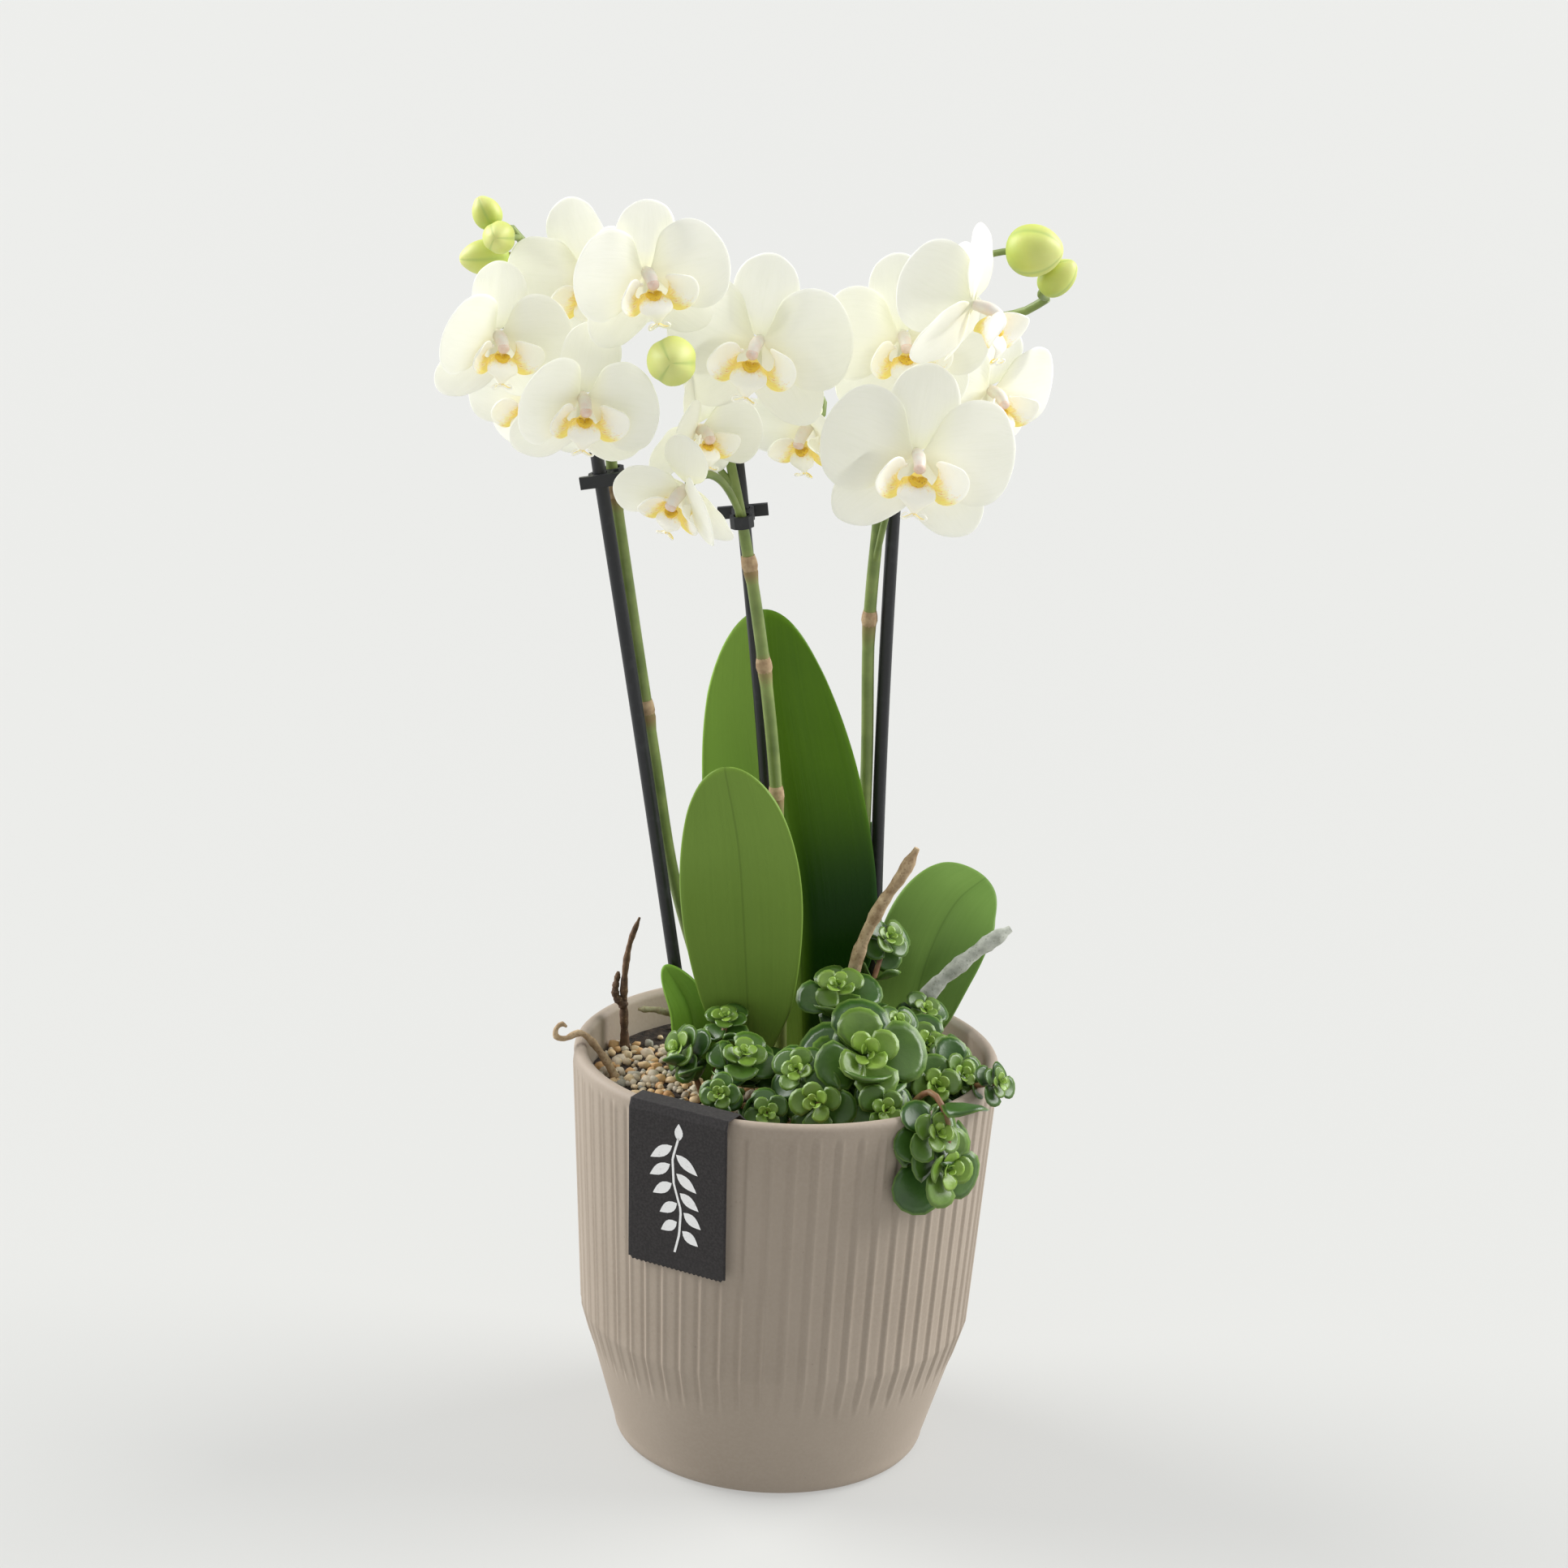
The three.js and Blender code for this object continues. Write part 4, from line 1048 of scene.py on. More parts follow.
lip_finish = Finish("lip_cream_and_yellow", Subsurface_Weight=0.35, Subsurface_Scale=0.003)
lip_finish.shader.inputs["Subsurface Radius"].default_value = (1, 1, 0.8)
# A faint warm painted glow on the lip.
lip_finish.shader.inputs["Emission Color"].default_value = (1, 0.95, 0.7, 1)
lip_finish.shader.inputs["Emission Strength"].default_value = LIP_PAINTED_GLOW
lie = lip_finish.along()
u, v = lip_finish.parts(lie)
wander = lip_finish.noise(lie, 7, 3)
yellow = (v + wander * 0.3).between(0.6, 0.34)
stripes = lip_finish.noise(lip_finish.vector(u * 22, v * 3), 1.0, 2).between(0.52, 0.62)
freckles = lip_finish.cells(lip_finish.vector(u * 14, v * 20), 1.0).between(0.34, 0.2)
marks = (stripes * 0.6 + freckles) * (v + wander * 0.25).between(0.66, 0.4) * v.between(0.08, 0.2)
cream = lip_finish.blend(yellow, (0.95, 0.94, 0.84), (0.98, 0.73, 0.08))
lip_finish.set("Base Color", lip_finish.blend(marks * 0.36, cream, (0.6, 0.14, 0.10)))
lip_finish.set("Roughness", 0.4 + wander * 0.15)
lip_finish.bump(stripes + wander, 0.2, 0.2)
print("finishes:", petal.material.name, lip_finish.material.name)

# %% [markdown]
# The callus in the lip's throat is a deep yellow with red-brown dots, and column and anther cap are cream and
# peach. These pieces are only a few millimetres long, so one or two noises each are enough.

# %% Callus, column and anther finishes
callus_finish = Finish("callus_yellow", Roughness=0.35)
spot = callus_finish.place()
dots = callus_finish.cells(spot, 1500).between(0.4, 0.25) * callus_finish.noise(spot, 500).between(0.45, 0.6)
callus_finish.set("Base Color", callus_finish.blend(dots * 0.6, (0.92, 0.60, 0.04), (0.50, 0.10, 0.03)))
callus_finish.bump(dots, 0.4, 0.2)

column_finish = Finish("column_cream", Roughness=0.4)
tint = column_finish.noise(column_finish.place(), 350, 3)
blush = column_finish.ramp(tint, (0.35, (0.94, 0.90, 0.80)), (0.7, (0.93, 0.80, 0.70)))
column_finish.set("Base Color", blush)
column_finish.bump(tint, 0.2, 0.2)

anther_finish = Finish("anther_peach", Roughness=0.4)
tint = anther_finish.noise(anther_finish.place(), 600, 3)
peach = anther_finish.ramp(tint, (0.3, (0.88, 0.62, 0.48)), (0.7, (0.93, 0.78, 0.68)))
anther_finish.set("Base Color", peach)
anther_finish.bump(tint, 0.3, 0.2)
print("finishes:", callus_finish.material.name, column_finish.material.name, anther_finish.material.name)

# %% [markdown]
# A moth orchid's flower has three sepals at the back and two broad petals before them. A petal curves two ways
# at once and has a thin live edge, which extruding can't give, so each is a grid rounded to an oval and laid
# along its own spine by a formula, with its midrib, its narrow claw and its ruffle. Small turns at random,
# always the same ones, keep two flowers from looking alike.

# %% A flower's sepals and petals
SPAN = 52
TEPALS = [
    {"turn": 0, "length": 0.47, "width": 0.36, "widest": 0.54, "back": 1.3},
    {"turn": 138, "length": 0.52, "width": 0.36, "widest": 0.46, "back": 1.3},
    {"turn": -138, "length": 0.52, "width": 0.36, "widest": 0.46, "back": 1.3},
    {"turn": 77, "length": 0.5, "width": 0.56, "widest": 0.58, "back": -0.5},
    {"turn": -77, "length": 0.5, "width": 0.56, "widest": 0.58, "back": -0.5},
]
PETAL_THICKNESS, PETAL_GRID = 0.5, (10, 12)
USUAL_CUP = 8
sway = random.Random(21)


def tepals_of(flower):
    """The three sepals and two petals, joined."""
    turn, middle, span = facing(flower), planted(flower["at"]), SPAN * flower["size"]
    made = []
    for shape in TEPALS:
        petal_like = shape["back"] < 0
        angle = math.radians(shape["turn"] + sway.uniform(-4, 4))
        out = Vector((math.sin(angle), 0, math.cos(angle)))
        side = turn @ Vector((out.z, 0, -out.x))
        curl = sway.uniform(-1.5, 1.5) + (0 if petal_like else 1)
        lean = math.radians(flower.get("cup", USUAL_CUP) if petal_like else flower.get("sweep", 0))
        if shape["turn"] == 0:
            lean += math.radians(flower.get("hood", 0))
        way = (out * math.cos(lean) - Vector((0, math.sin(lean), 0))) * (shape["length"] * span)
        line = []
        for reach, bow in ((0.03, 0.0), (0.35, -0.7), (0.7, -0.3), (1.0, curl)):
            line.append(middle + turn @ (way * reach + Vector((0, shape["back"] + bow, 0))) * MM)
        phase, cup, wave = sway.uniform(0, 6), sway.uniform(-1.6, 0.6), sway.uniform(0.25, 0.5)

        def form(across, share):
            rib = 0.3 * math.exp(-((across / 0.07) ** 2)) * fade(share, 1, 0.6)
            ruffle = wave * math.sin(8 * share + phase + 2 * across) * abs(across) ** 2
            ruffle += 0.2 * math.sin(17 * share + 2 * phase) * abs(across) ** 3
            claw = mix(0.42, 1, fade(share, 0, 0.3)) if petal_like else mix(0.7, 1, fade(share, 0, 0.25))
            return cup * across * across + ruffle + rib, claw * mix(1, 0.9, fade(share, 0.85, 1))

        width = shape["width"] * span
        spine = Spine(line, 6)
        made.append(blade("tepal", spine, side, width, PETAL_THICKNESS, PETAL_GRID, shape["widest"], form))
    whole = joined(made)
    whole.data.materials.append(petal.material)
    return tidy(whole, 80)


for name, flowers in FLOWERS.items():
    for number, flower in enumerate(flowers, 1):
        keep(tepals_of(flower), f"tepals_{name}_{number}", "petal", f"flower_{name}_{number}_tepals")

# %% [markdown]
# In the middle sits the lip: two side lobes that close to a bowl, a pointed mid lobe with two curled tendrils,
# and a yellow callus between them, with the column and its anther cap above. It could be sculpted as one, but
# each part has a maker already: the lobes are blades like the petals, the tendrils and the column are rods, and
# callus and cap are spheres drawn out of round. Places are shares of the flower's span.

# %% The parts of a lip
LIP_THICKNESS = 0.6
LIP_START = HUB_RADIUS + 0.3
LOBE_GRID = (8, 12)
MID_LOBE = [(0, 0.03, -0.06), (0, 0.13, -0.11), (0, 0.19, -0.17), (0, 0.16, -0.25)]
SIDE_LOBE = [(0.015, 0.04, -0.08), (0.1, 0.07, -0.125), (0.155, 0.12, -0.055), (0.12, 0.155, 0.04)]
TENDRIL = [
    (0.0, 0.165, -0.242), (0.03, 0.16, -0.262), (0.055, 0.175, -0.265), (0.062, 0.195, -0.245),
    (0.045, 0.2, -0.228), (0.03, 0.19, -0.232),
]
TENDRIL_TAPER, TENDRIL_STEPS = (0.55, 0.22), 18
COLUMN = [(0, -0.07, 0.005), (0, 0.02, 0.012), (0, 0.085, 0.0), (0, 0.125, -0.025)]
COLUMN_RADII, COLUMN_STEPS = (1.5, 1.9), 16
CAP_SIZE = Vector((1.75, 1.35, 1.6))


def mid_form(across, share):
    """The mid lobe: narrow at its foot, pointed at its tip."""
    width = mix(0.45, 1, fade(share, 0, 0.45)) * mix(1, 0.3, fade(share, 0.55, 1))
    return -0.9 * across * across + 0.3 * math.sin(6 * share), width


def side_form(across, share):
    """A side lobe: narrow at its foot and hollow."""
    return -1.6 * across * across + 0.25 * math.sin(9 * share) * across, mix(0.4, 1, fade(share, 0, 0.5))


def small_ball(finish, place):
    """A sphere whose points go where place says."""
    bpy.ops.object.select_all(action="DESELECT")
    bpy.ops.mesh.primitive_uv_sphere_add(segments=16, ring_count=10, radius=1)
    ball = bpy.context.object
    for vertex in ball.data.vertices:
        vertex.co = place(*vertex.co)
    ball.data.materials.append(finish.material)
    return ball


print("a lip begins", LIP_START, "mm before the flower's middle")

# %% A flower's lip
def lip_of(flower):
    """The lip, callus and column, joined."""
    turn, middle, span = facing(flower), planted(flower["at"]), SPAN * flower["size"]

    def at(x, y, z):
        return middle + turn @ Vector((x * span, -LIP_START - y * span, z * span)) * MM

    def callus_place(x, y, z):
        lobed = 0.55 * abs(x) + 0.12 * math.sin(9 * y)
        return at(x * 0.05, 0.11 + y * 0.045, -0.1 + (z * 0.55 + lobed) * 0.045)

    def cap_place(x, y, z):
        beak = 0.3 * fade(-z, 0, 1)
        return at(0, 0.12, -0.02) + turn @ (Vector((x, y * (1 - beak), z)) * CAP_SIZE) * MM

    across = turn @ Vector((1, 0, 0))
    mid_line = Spine([at(*point) for point in MID_LOBE], 6)
    fleshy = [blade("mid_lobe", mid_line, across, 0.2 * span, LIP_THICKNESS, LOBE_GRID, 0.55, mid_form)]
    for hand in (-1, 1):
        lobe = Spine([at(hand * x, y, z) for x, y, z in SIDE_LOBE], 6)
        depth = turn @ Vector((-0.95 * hand, 1, 0)).normalized()
        fleshy.append(blade("side_lobe", lobe, depth, 0.23 * span, LIP_THICKNESS, LOBE_GRID, 0.62, side_form))
        curl = Spine([at(hand * x, y, z) for x, y, z in TENDRIL], 5)
        fleshy.append(rod("tendril", curl.places(TENDRIL_STEPS), dwindled(*TENDRIL_TAPER, TENDRIL_STEPS), 8))
    flesh = joined(fleshy)
    flesh.data.materials.append(lip_finish.material)

    callus = small_ball(callus_finish, callus_place)
    column = Spine([at(*point) for point in COLUMN], 6)
    stout = [mix(*COLUMN_RADII, math.sin(math.pi * k / COLUMN_STEPS)) for k in range(COLUMN_STEPS + 1)]
    body = rod("column", column.places(COLUMN_STEPS), stout, 14)
    body.data.materials.append(column_finish.material)
    cap = small_ball(anther_finish, cap_place)
    return tidy(joined([flesh, callus, body, cap]), 60)


for name, flowers in FLOWERS.items():
    for number, flower in enumerate(flowers, 1):
        keep(lip_of(flower), f"lip_{name}_{number}", "lip", f"flower_{name}_{number}_lip")

# %% [markdown]
# A bud is three sepals closed edge to edge, so it is an egg with three seams that meet at its tip. Three petals
# bent together would leave gaps, so a sphere is drawn out to an egg and pressed in along the seams. The mesh
# holds how near a seam is, so the finish can make the seams greener.

# %% Bud finish
bud_finish = Finish("bud_green", Subsurface_Weight=0.1, Subsurface_Scale=0.003)
spot = bud_finish.place()
cloud = bud_finish.noise(spot, 110, 4)
seam = bud_finish.attribute("seam")
_, tip = bud_finish.parts(bud_finish.along())
greens = [(0.25, (0.34, 0.45, 0.055)), (0.75, (0.63, 0.69, 0.16)), (1.0, (0.71, 0.75, 0.25))]
fresh = bud_finish.ramp(tip + cloud * 0.4, *greens)
bud_finish.set("Base Color", bud_finish.blend(seam * 0.55, fresh, (0.34, 0.48, 0.11)))
bud_finish.set("Roughness", 0.38 + cloud * 0.2)
bud_finish.bump(cloud, 0.3, 0.3)
print("finish:", bud_finish.material.name)

# %% Buds
BUD_WIDEST = 0.45
SEAM_DEPTH, SEAM_WIDTH = 0.075, 0.13


def bud_of(shape):
    """A closed bud that points where its table says."""
    heading = Vector(shape["points"]).normalized()
    side = heading.cross(UP).normalized()
    face = heading.cross(side)
    power = math.log(BUD_WIDEST) / math.log(0.5)
    bpy.ops.object.select_all(action="DESELECT")
    bpy.ops.mesh.primitive_uv_sphere_add(segments=36, ring_count=20, radius=1)
    made = bpy.context.object
    seams = []
    for vertex in made.data.vertices:
        x, y, z = vertex.co
        turn = (math.atan2(y, x) * 3 / math.tau) % 1
        held = fade(z, -0.95, -0.4)
        near = math.exp(-(((turn - 0.5) / SEAM_WIDTH) ** 2)) * held
        seams.append(math.exp(-(((turn - 0.5) / (SEAM_WIDTH * 0.45)) ** 2)) * held)
        wide = (1 - SEAM_DEPTH * near) * shape["width"] / 2
        share = max((z + 1) / 2, 0) ** power - 0.5
        tip = 0.35 * fade(z, 0.8, 1)
        out = heading * (share * shape["length"] + tip) + side * x * wide + face * y * wide
        vertex.co = planted(shape["at"]) + out * MM
    made.data.attributes.new("seam", "FLOAT", "POINT").data.foreach_set("value", seams)
    made.data.materials.append(bud_finish.material)
    return tidy(made, 60)


for name, buds in BUDS.items():
    for number, shape in enumerate(buds, 1):
        keep(bud_of(shape), f"closed_bud_{name}_{number}", "bud", f"bud_{name}_{number}")

# %% [markdown]
# The orchid's own leaves are leathery and a little glossy, with veins that run along them. One half of a folded
# leaf is paler than the other. A noise in space wouldn't follow the leaf's curve, so veins, midrib and paler
# half go by the leaf's own map.

# %% Leaf finishes
PALE_GREEN = (0.30, 0.50, 0.085)


def leaf_finish(name, dark, light, pale_half, rough, painted_shade=0.55):
    """pale_half washes out the left half; the last argument paints shade over the foot of the right half."""
    leaf = Finish(name, Specular_IOR_Level=0.2)
    u, v = leaf.parts(leaf.along())
    veins = leaf.noise(leaf.vector(u * 30, v * 1.5), 1.0, 4, 0.6)
    cloud = leaf.noise(leaf.place(), 30, 4)
    rib = abs(u - 0.5).between(0.014, 0.004)
    tone = leaf.blend(veins * 0.4 + cloud * 0.6, dark, light)
    tone = leaf.blend(u.between(0.54, 0.46) * pale_half, tone, PALE_GREEN)
    # Painted shade: a near black-green is painted over the foot of the right half.
    painted_shade_green = (dark[0] * 0.1, dark[1] * 0.3, dark[2] * 0.1)
    tone = leaf.blend(v.between(0.74, 0.36) * u.between(0.47, 0.6) * painted_shade, tone, painted_shade_green)
    leaf.set("Base Color", leaf.blend(rib * 0.35, tone, [c * 0.6 for c in dark]))
    leaf.set("Roughness", rough + cloud * 0.15 + u.between(0.56, 0.44) * (pale_half * 0.35))
    leaf.bump(veins + cloud * 0.5, 0.3, 0.35)
    return leaf.material


print("the paler half turns to", PALE_GREEN)

# %% Where the leaves are
# The last number of a leaf's finish is how much painted shade lies on the foot of its right half.
LEAVES = {
    "leaf_back": {
        "spine": [(6, 21, -5), (2.2, 24, 42), (-4.6, 26, 80), (-11.4, 28, 117), (-13.8, 30, 142)],
        "side": (1, 0.1, 0.1), "width": 51, "widest": 0.48, "fold": -4,
        "finish": leaf_finish("leaf_dark", (0.058, 0.15, 0.006), (0.145, 0.295, 0.012), 0.7, 0.32, 0.97),
    },
    "leaf_front": {
        "spine": [(-10, -2, -5), (-14.5, -8, 50), (-17.5, -14, 80), (-22.5, -16, 104.5)],
        "side": (1, -0.1, 0.15), "width": 37, "widest": 0.62, "fold": -3,
        "finish": leaf_finish("leaf_fresh", (0.14, 0.24, 0.03), (0.215, 0.355, 0.055), 0.0, 0.36, 0.0),
    },
    "leaf_right": {
        "spine": [(36, 22, -5), (43, 36, 30), (51.5, 46, 46), (61, 54, 52)],
        "side": (0.75, -0.45, -0.5), "width": 34, "widest": 0.62, "fold": -2,
        "finish": leaf_finish("leaf_pale", (0.105, 0.215, 0.03), (0.19, 0.32, 0.07), 0.1, 0.4, 0.15),
    },
    # The narrow leaf's greens are darker than the other leaves': painted shade.
    "leaf_narrow": {
        "spine": [(10, 36, -5), (18, 42, 40), (24, 44, 72)],
        "side": (1, 0.2, 0), "width": 15, "widest": 0.5, "fold": -1,
        "finish": leaf_finish("leaf_painted_shade", (0.03, 0.09, 0.015), (0.06, 0.15, 0.03), 0.0, 0.3),
    },
    "leaf_cut": {
        "spine": [(-27, -4, -5), (-30, 0, 22), (-38.5, 1, 36)],
        "side": (0.8, 0.2, 0.5), "width": 14, "widest": 0.4, "fold": -2,
        "finish": leaf_finish("leaf_young", (0.11, 0.25, 0.015), (0.22, 0.42, 0.05), 0.0, 0.34),
    },
}
print("leaves:", ", ".join(LEAVES))

# %% [markdown]
# A leaf is thick, arching and creased along the middle. It could be extruded row by row, but it is the same
# kind of blade as a petal, only thicker, folded along its midrib and with hardly any ruffle, so the same maker
# serves.

# %% Leaves
LEAF_THICKNESS, LEAF_GRID = 1.5, (14, 26)
CREASE = 1.1
for name, leaf in LEAVES.items():
    fold_by, width, widest = leaf["fold"], leaf["width"], leaf["widest"]

    def leaf_form(across, share):
        crease = CREASE * math.exp(-((across / 0.13) ** 2)) * fade(share, 1, 0.75)
        ripple = width * 0.008 * math.sin(9 * share + 3 * across) * abs(across)
        return fold_by * across * across + crease + ripple, mix(0.55, 1, fade(share, 0, 0.3))

    spine = Spine([planted(point) for point in leaf["spine"]])
    made = blade(name, spine, Vector(leaf["side"]), width, LEAF_THICKNESS, LEAF_GRID, widest, leaf_form)
    made.data.materials.append(leaf["finish"])
    keep(tidy(made, 70), f"orchid_{name}", "orchid_leaf", name)

# %% [markdown]
# Orchid roots grow out into the air. Old ones are dry and brown and dwindle to a thread, and a living one is
# fat, with a silvery, spongy skin. Each is a rod whose thickness wanders a little along it, which a straight
# cone wouldn't show.

# %% Root finishes
def root_finish(name, dark, light, speckle):
    """Bark between two tones, with speckles."""
    root = Finish(name, Roughness=0.85)
    spot = root.place()
    bark = root.noise(spot, 260, 5, 0.65)
    dots = root.cells(spot, 900).between(0.32, 0.18)
    tone = root.ramp(bark, (0.32, dark), (0.68, light))
    root.set("Base Color", root.blend(dots * 0.55, tone, speckle))
    root.bump(bark, 0.8, 0.5)
    print("finish:", name)
    return root.material


dry_root = root_finish("root_dry", (0.055, 0.03, 0.018), (0.19, 0.11, 0.06), (0.30, 0.2, 0.12))
straw_root = root_finish("root_straw", (0.28, 0.18, 0.09), (0.62, 0.47, 0.29), (0.28, 0.17, 0.09))
green_root = root_finish("root_green_brown", (0.16, 0.13, 0.06), (0.36, 0.36, 0.20), (0.20, 0.12, 0.06))
silver_root = root_finish("root_silver", (0.36, 0.38, 0.32), (0.62, 0.64, 0.56), (0.26, 0.28, 0.20))

# %% Where the roots go
def over_rim(azimuth, step):
    """A place given as out, along and up from the rim's top, at an azimuth from the front."""
    out, along, up = step
    place = Vector((along, -(RIM_RADIUS / MM + out), POT_HIGH.z / MM + up)) * MM
    return Matrix.Rotation(math.radians(azimuth), 3, "Z") @ place


CURL_TURN = -85
CURL = [
    (-13, 0, -11), (-9, 0, -4), (-2, -1, 3), (3, 0, 1.5), (5.5, 1, 2.5), (5.6, 2, 5.5), (4.0, 2, 7),
    (2.6, 1, 5.8),
]
UPRIGHT = [(-50.3, 22, -3), (-51.5, 23, 22), (-50.3, 24, 34), (-47.5, 24, 43)]
BRANCH = [(-51, 22.5, 14), (-54, 22, 18), (-53.5, 24, 25)]
LEVEL = [(-30, 20, -3), (-33, 17, 12), (-39, 16, 15.5), (-46.6, 18, 15)]
STRAW = [(17, 6, -3), (20, 3, 40), (26.2, 1, 58), (31.8, 0, 68), (36.2, 0, 77.3)]
SILVER = [(36, 12, -3), (40, 14, 20), (45, 16, 28), (52, 18, 34.5), (60, 20, 41), (67.5, 22, 46)]
# Each root: its radius in mm, its radius at the tip as a share, its finish and slot, and its runs.
ROOTS = {
    "root_upright_left": (1.4, 0.55, dry_root, "dry_root", [UPRIGHT, BRANCH]),
    "root_level_left": (1.6, 0.55, green_root, "dry_root", [LEVEL]),
    "root_straw_right": (2.0, 0.9, straw_root, "dry_root", [STRAW]),
    "root_silver_right": (2.5, 0.9, silver_root, "silver_root", [SILVER]),
    "root_curl_left": (1.3, 0.55, straw_root, "dry_root", [CURL]),
}
print("roots:", len(ROOTS))

# %% Roots
ROOT_STEPS = 36
for name, (radius, tip_share, finish, slot_name, runs) in ROOTS.items():
    parts = []
    for run in runs:
        line = Spine([over_rim(CURL_TURN, step) if run is CURL else planted(step) for step in run])
        phase = len(name) + len(parts)
        radii = []
        for k, dwindle in enumerate(dwindled(1.08, tip_share, ROOT_STEPS)):
            wander = 1 + 0.12 * math.sin(0.9 * k + phase) + 0.07 * math.sin(2.3 * k)
            radii.append(radius * wander * dwindle * (1 - 0.5 * fade(k, ROOT_STEPS - 2, ROOT_STEPS)))
        parts.append(rod("root", line.places(ROOT_STEPS), radii, 12))
    made = joined(parts)
    made.data.materials.append(finish)
    keep(tidy(made), f"air_{name}", slot_name, name)

# %% [markdown]
# The sedum creeps over the gravel and hangs over the rim. Its leaves are fleshy and glossy, dark green when old
# and yellow-green when young, with a paler edge. A finish for each age would be many, so each leaf's mesh holds
# its age and one finish does for all.

# %% Sedum finishes
juicy = Finish("sedum_leaf", Specular_IOR_Level=0.55)
spot = juicy.place()
cloud = juicy.noise(spot, 160, 4)
young = juicy.attribute("young")
_, over = juicy.parts(juicy.along())
edge = abs(over - 0.5).between(0.1, 0.02)
old = juicy.blend(cloud, (0.012, 0.05, 0.006), (0.042, 0.125, 0.012))
new = juicy.blend(cloud, (0.17, 0.33, 0.03), (0.36, 0.52, 0.085))
tone = juicy.blend(young, old, new)
juicy.set("Base Color", juicy.blend(edge * 0.4, tone, (0.26, 0.42, 0.08)))
juicy.set("Roughness", 0.26 + cloud * 0.16)
juicy.bump(juicy.noise(spot, 700, 3) + cloud, 0.25, 0.25)

reddish = Finish("sedum_stem", Roughness=0.5)
tint = reddish.noise(reddish.place(), 300, 3)
reddish.set("Base Color", reddish.ramp(tint, (0.3, (0.20, 0.06, 0.035)), (0.7, (0.30, 0.20, 0.08))))
reddish.bump(tint, 0.3, 0.3)
print("finishes:", juicy.material.name, "and", reddish.material.name)

# %% [markdown]
# A sprig is a thin red stem with leaves in pairs, each pair a quarter turn from the last, that close up to a
# rosette at its tip. Leaves shaped one by one would take too long and too many faces, so one is shaped from a
# sphere of few faces, flat, broad and slightly hollow, and every other is a copy, laid by where its pair
# stands.

# %% One sedum leaf
bpy.ops.object.select_all(action="DESELECT")
bpy.ops.mesh.primitive_uv_sphere_add(segments=14, ring_count=4, radius=1)
leaf_one = bpy.context.object
for vertex in leaf_one.data.vertices:
    x, y, z = vertex.co
    share = (x + 1) / 2
    wide = mix(0.42, 1, fade(share, 0.0, 0.5))
    vertex.co = Vector((share, y * 0.46 * wide, z * 0.07 + 0.16 * (y * wide) ** 2 + 0.1 * share * share))
leaf_one.data.attributes.new("young", "FLOAT", "POINT")
tidy(leaf_one, 180)
print("sedum leaf:", len(leaf_one.data.polygons), "faces")

# %% A rosette
# Its pairs of leaves: reach as a share of its radius, how far they rise in degrees, how far up the stem they
# sit as a share of the radius, and how young they are.
PAIRS = [
    (1.0, -16, -0.52, 0.0), (1.05, -8, -0.42, 0.0), (0.88, 0, -0.3, 0.1), (0.7, 6, -0.2, 0.3),
    (0.52, 14, -0.12, 0.55), (0.38, 24, -0.06, 0.8), (0.26, 38, -0.02, 0.95), (0.16, 58, 0.0, 1.0),
]
grow = random.Random(5)


def sedum_leaf(base, along, up, length, young_by, broad):
    """A copy of the leaf, from its base along a way, with its face up."""
    leaf = leaf_one.copy()
    leaf.data = leaf_one.data.copy()
    along = along.normalized()
    side = up.cross(along).normalized()
    face = along.cross(side)
    turn = Matrix((along * length, side * length * broad, face * length)).transposed().to_4x4()
    leaf.data.transform(Matrix.Translation(base) @ turn)
    leaf.data.attributes["young"].data.foreach_set("value", [young_by] * len(leaf.data.vertices))
    bpy.context.collection.objects.link(leaf)
    return leaf


def rosette(centre, facing_to, radius):
    """Pairs of leaves round a heart; radius in metres."""
    out = facing_to.normalized()
    first_side = out.cross(UP if abs(out.z) < 0.9 else Vector((1, 0, 0))).normalized()
    second_side = out.cross(first_side)
    start = grow.uniform(0, math.tau)
    leaves = []
    for pair, (reach, rise, sits, young_by) in enumerate(PAIRS):
        for hand in (0, 1):
            turn = start + math.pi * hand + math.pi / 2 * pair + 0.18 * pair + grow.uniform(-0.2, 0.2)
            away = first_side * math.cos(turn) + second_side * math.sin(turn)
            lift = math.radians(rise + grow.uniform(-10, 10))
            along = away * math.cos(lift) + out * math.sin(lift)
            tip_over = first_side * grow.uniform(-0.15, 0.15) + second_side * grow.uniform(-0.15, 0.15)
            base = centre + out * (radius * sits) + away * (radius * 0.04)
            length = radius * reach * grow.uniform(0.88, 1.08)
            broad = grow.uniform(1.05, 1.2)
            age = young_by + grow.uniform(0, 0.1)
            leaves.append(sedum_leaf(base, along, out + tip_over, length, age, broad))
    return leaves


print("a rosette has", 2 * len(PAIRS), "leaves")

# %% A sprig
SPRIG_TAPER, SPRIG_STEPS = (1.05, 0.8), 14


def sprig_to(stem, tip, facing_to, radius, pairs=2):
    """A stem, its pairs of leaves and the rosette at its tip, as one list of stems and one of leaves."""
    red = rod("sedum_stem", stem.places(SPRIG_STEPS), dwindled(*SPRIG_TAPER, SPRIG_STEPS), 8)
    red.data.materials.append(reddish.material)
    leaves = []
    for pair in range(pairs):
        share = mix(0.45, 0.85, (pair + 0.5) / pairs)
        heading = stem.heading(share)
        away = heading.cross(UP if abs(heading.z) < 0.9 else Vector((0, 1, 0))).normalized()
        away = Quaternion(heading, grow.uniform(0, math.pi)) @ away
        for hand in (-1, 1):
            along = away * hand + heading * 0.5
            length = radius * grow.uniform(0.8, 1.0)
            leaves.append(sedum_leaf(stem.at(share), along, heading, length, grow.uniform(0, 0.2), 1.05))
    return [red], leaves + rosette(tip, facing_to, radius)


print("a sprig's stem goes from", SPRIG_TAPER[0], "to", SPRIG_TAPER[1], "mm in radius")

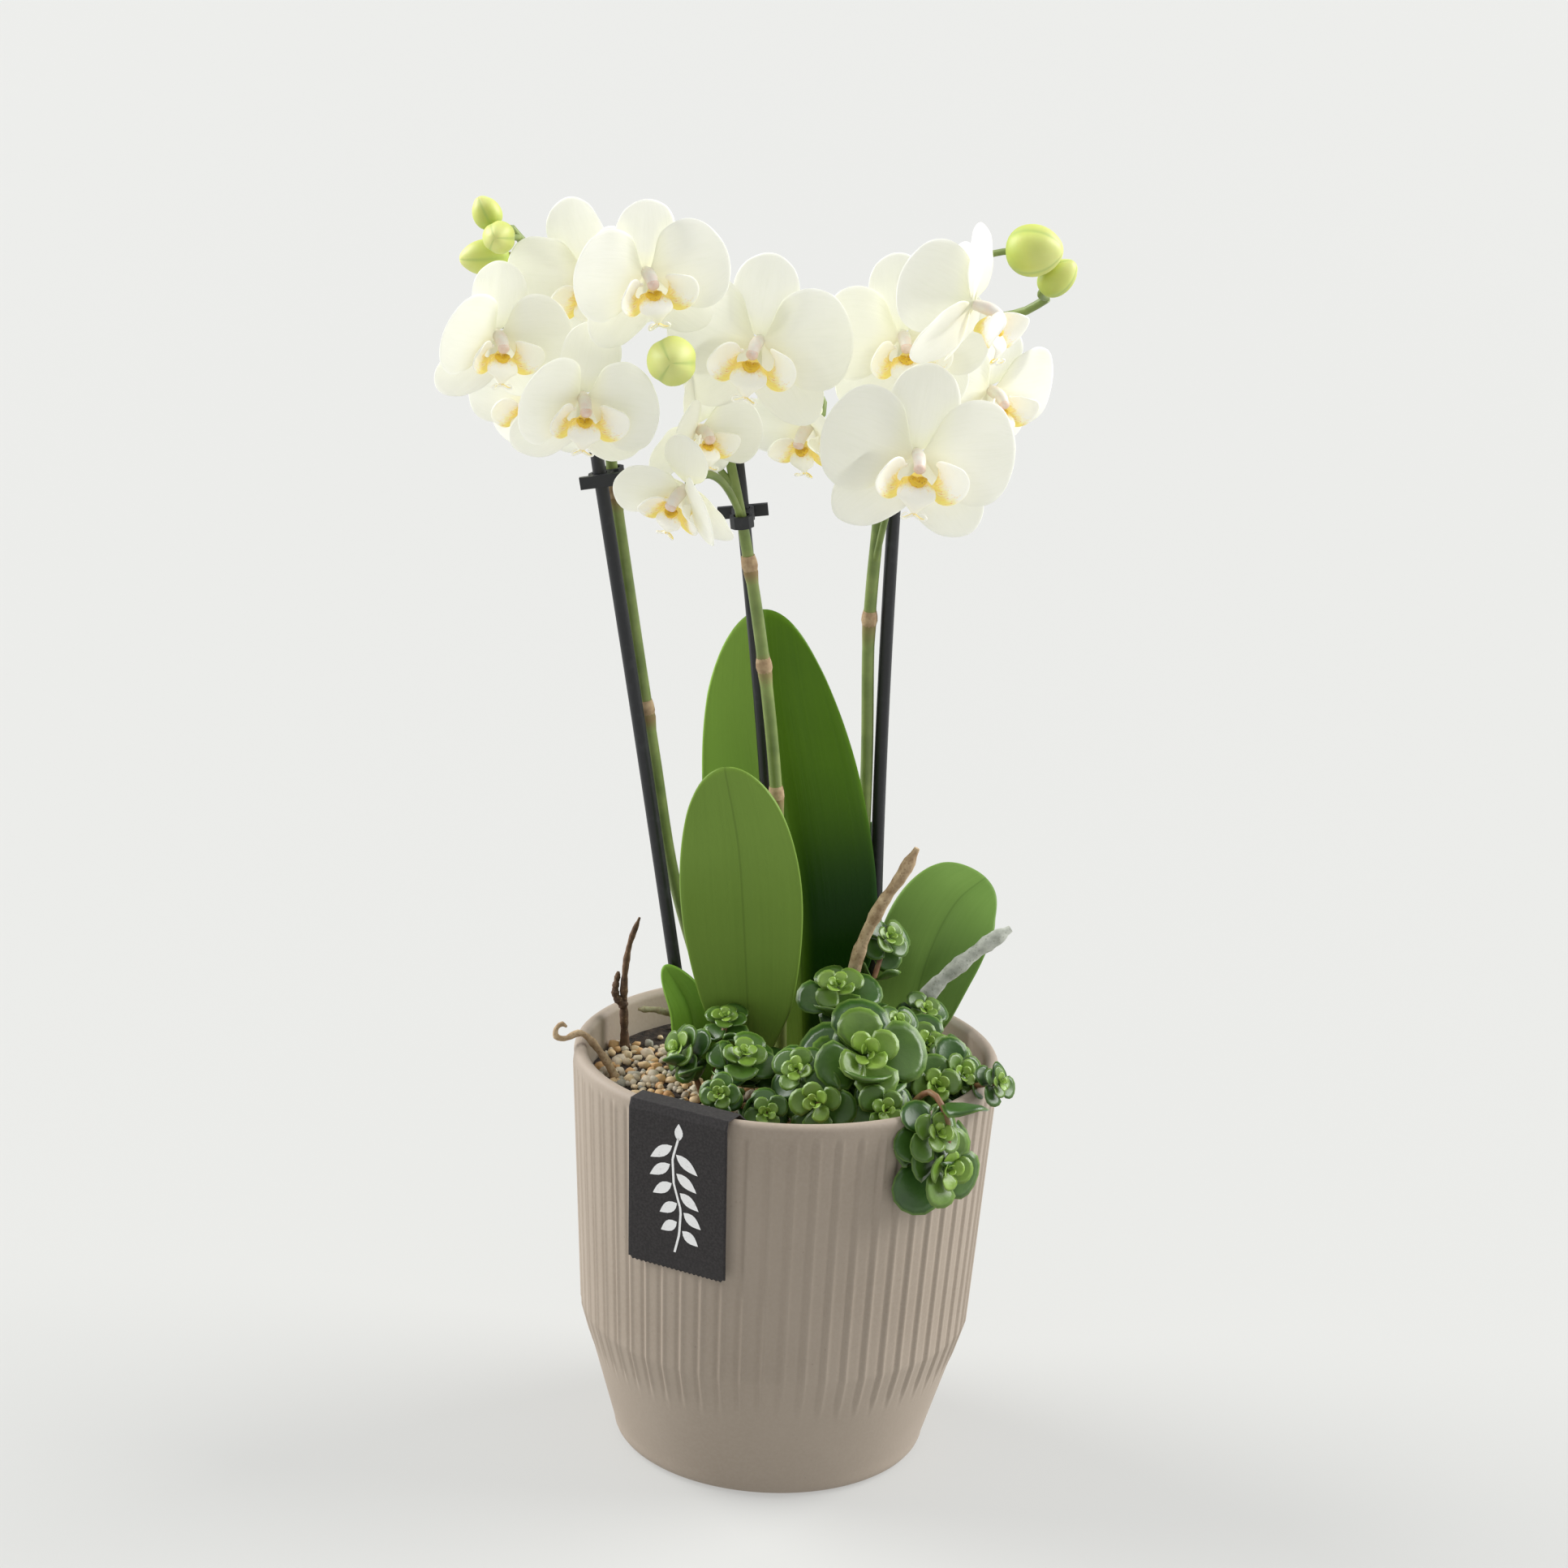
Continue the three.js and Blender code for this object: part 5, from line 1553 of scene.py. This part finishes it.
# %% Where the sedum grows
# Each clump: the foot of its stems, and each rosette's place, the way it faces and its radius.
SEDUM = {
    "sedum_left": ((-22, -24), [
        ((-19, -14, 26), (-0.1, -0.5, 1), 8), ((-12.5, -29, 20), (0.1, -0.6, 1), 10.5),
        ((-19.5, -43, 12), (-0.2, -1, 0.6), 7), ((-33, -20, 17), (-1, -0.6, 0.5), 10),
        ((-5, -46, 8), (0.1, -1, 0.5), 7.5), ((-8, -20, 14), (-0.2, -0.6, 1), 9),
    ]),
    "sedum_middle": ((20, -26), [
        ((23.5, -38, 25), (0.1, -1, 0.75), 20), ((3, -38, 19), (-0.3, -0.8, 0.7), 10),
        ((33, -20, 29), (0.4, -0.6, 0.8), 8), ((9, -46, 12), (-0.3, -0.9, 0.45), 11.5),
        ((30, -47, 11), (0.3, -0.9, 0.5), 10),
    ]),
    "sedum_back": ((16, -8), [((14.5, -7, 35), (-0.1, -0.7, 1), 12), ((30, 9, 46), (0.4, -0.6, 0.6), 9)]),
    "sedum_right": ((42, -14), [
        ((42, 4, 25), (0.3, -0.5, 0.9), 8), ((50, -16, 20), (0.5, -0.5, 0.9), 9),
        ((64, -32, 16), (1, -0.7, 0.6), 7.5), ((45, -33, 14), (0.2, -0.9, 0.6), 11.5),
        ((53, -26, 15), (0.6, -0.7, 0.5), 11), ((42, -16, 21), (0.2, -0.8, 0.8), 11),
    ]),
}
print("rosettes on the gravel:", sum(len(tips) for _, tips in SEDUM.values()))

# %% Sedum
def finished_sprigs(name, parts, leaves):
    """Joins leaves and stems and ties them to the frame."""
    whole = joined(leaves)
    whole.data.materials.append(juicy.material)
    for face in whole.data.polygons:
        face.material_index = 0
    keep(joined([whole, *parts]), f"creeping_{name}", "sedum", name)


for name, ((x, y), tips) in SEDUM.items():
    parts, leaves = [], []
    for tip, way, radius in tips:
        end = planted(tip)
        way = Vector(way).normalized()
        start = planted((x, y, -3))
        stem = Spine([start, start.lerp(end, 0.5) + UP * 3 * MM, end - way * (radius * 0.3 * MM)], 8)
        more_parts, more_leaves = sprig_to(stem, end, way, radius * MM)
        parts += more_parts
        leaves += more_leaves
    finished_sprigs(name, parts, leaves)

# %% [markdown]
# One sprig hangs over the rim. It could be bent there by a lattice, but the maker of sprigs takes any line, so
# it only needs a path that is given out, along and up from the rim.

# %% The sprig over the rim
TRAIL_TURN = 42
TRAIL_PATH = [(-12, 0, -11), (-10, 0, -2), (-1, 0, 6), (6, 0, 0), (7.5, 0, -10)]
TIP_PLACE, TIP_WAY, TIP_RADIUS = (8, 0, -15), (-0.1, -1, 0.15), 16
SIDE_PLACE, SIDE_WAY, SIDE_RADIUS = (7, -4, -3), (-0.1, -0.9, 0.5), 12

trail = Spine([over_rim(TRAIL_TURN, step) for step in TRAIL_PATH])
turned = Matrix.Rotation(math.radians(TRAIL_TURN), 3, "Z")
parts, leaves = sprig_to(trail, over_rim(TRAIL_TURN, TIP_PLACE), turned @ Vector(TIP_WAY), TIP_RADIUS * MM, 1)
leaves += rosette(over_rim(TRAIL_TURN, SIDE_PLACE), turned @ Vector(SIDE_WAY), SIDE_RADIUS * MM)
finished_sprigs("sedum_trailing", parts, leaves)
bpy.data.objects.remove(leaf_one)

# %% [markdown] Last, the box of the frame and the box of what shows are written down side by side, so that
# it is plain whether a piece has outgrown the frame.

low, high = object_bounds()
{"cad": [list(v) for v in CAD_BOX], "visual": [list(low), list(high)]}
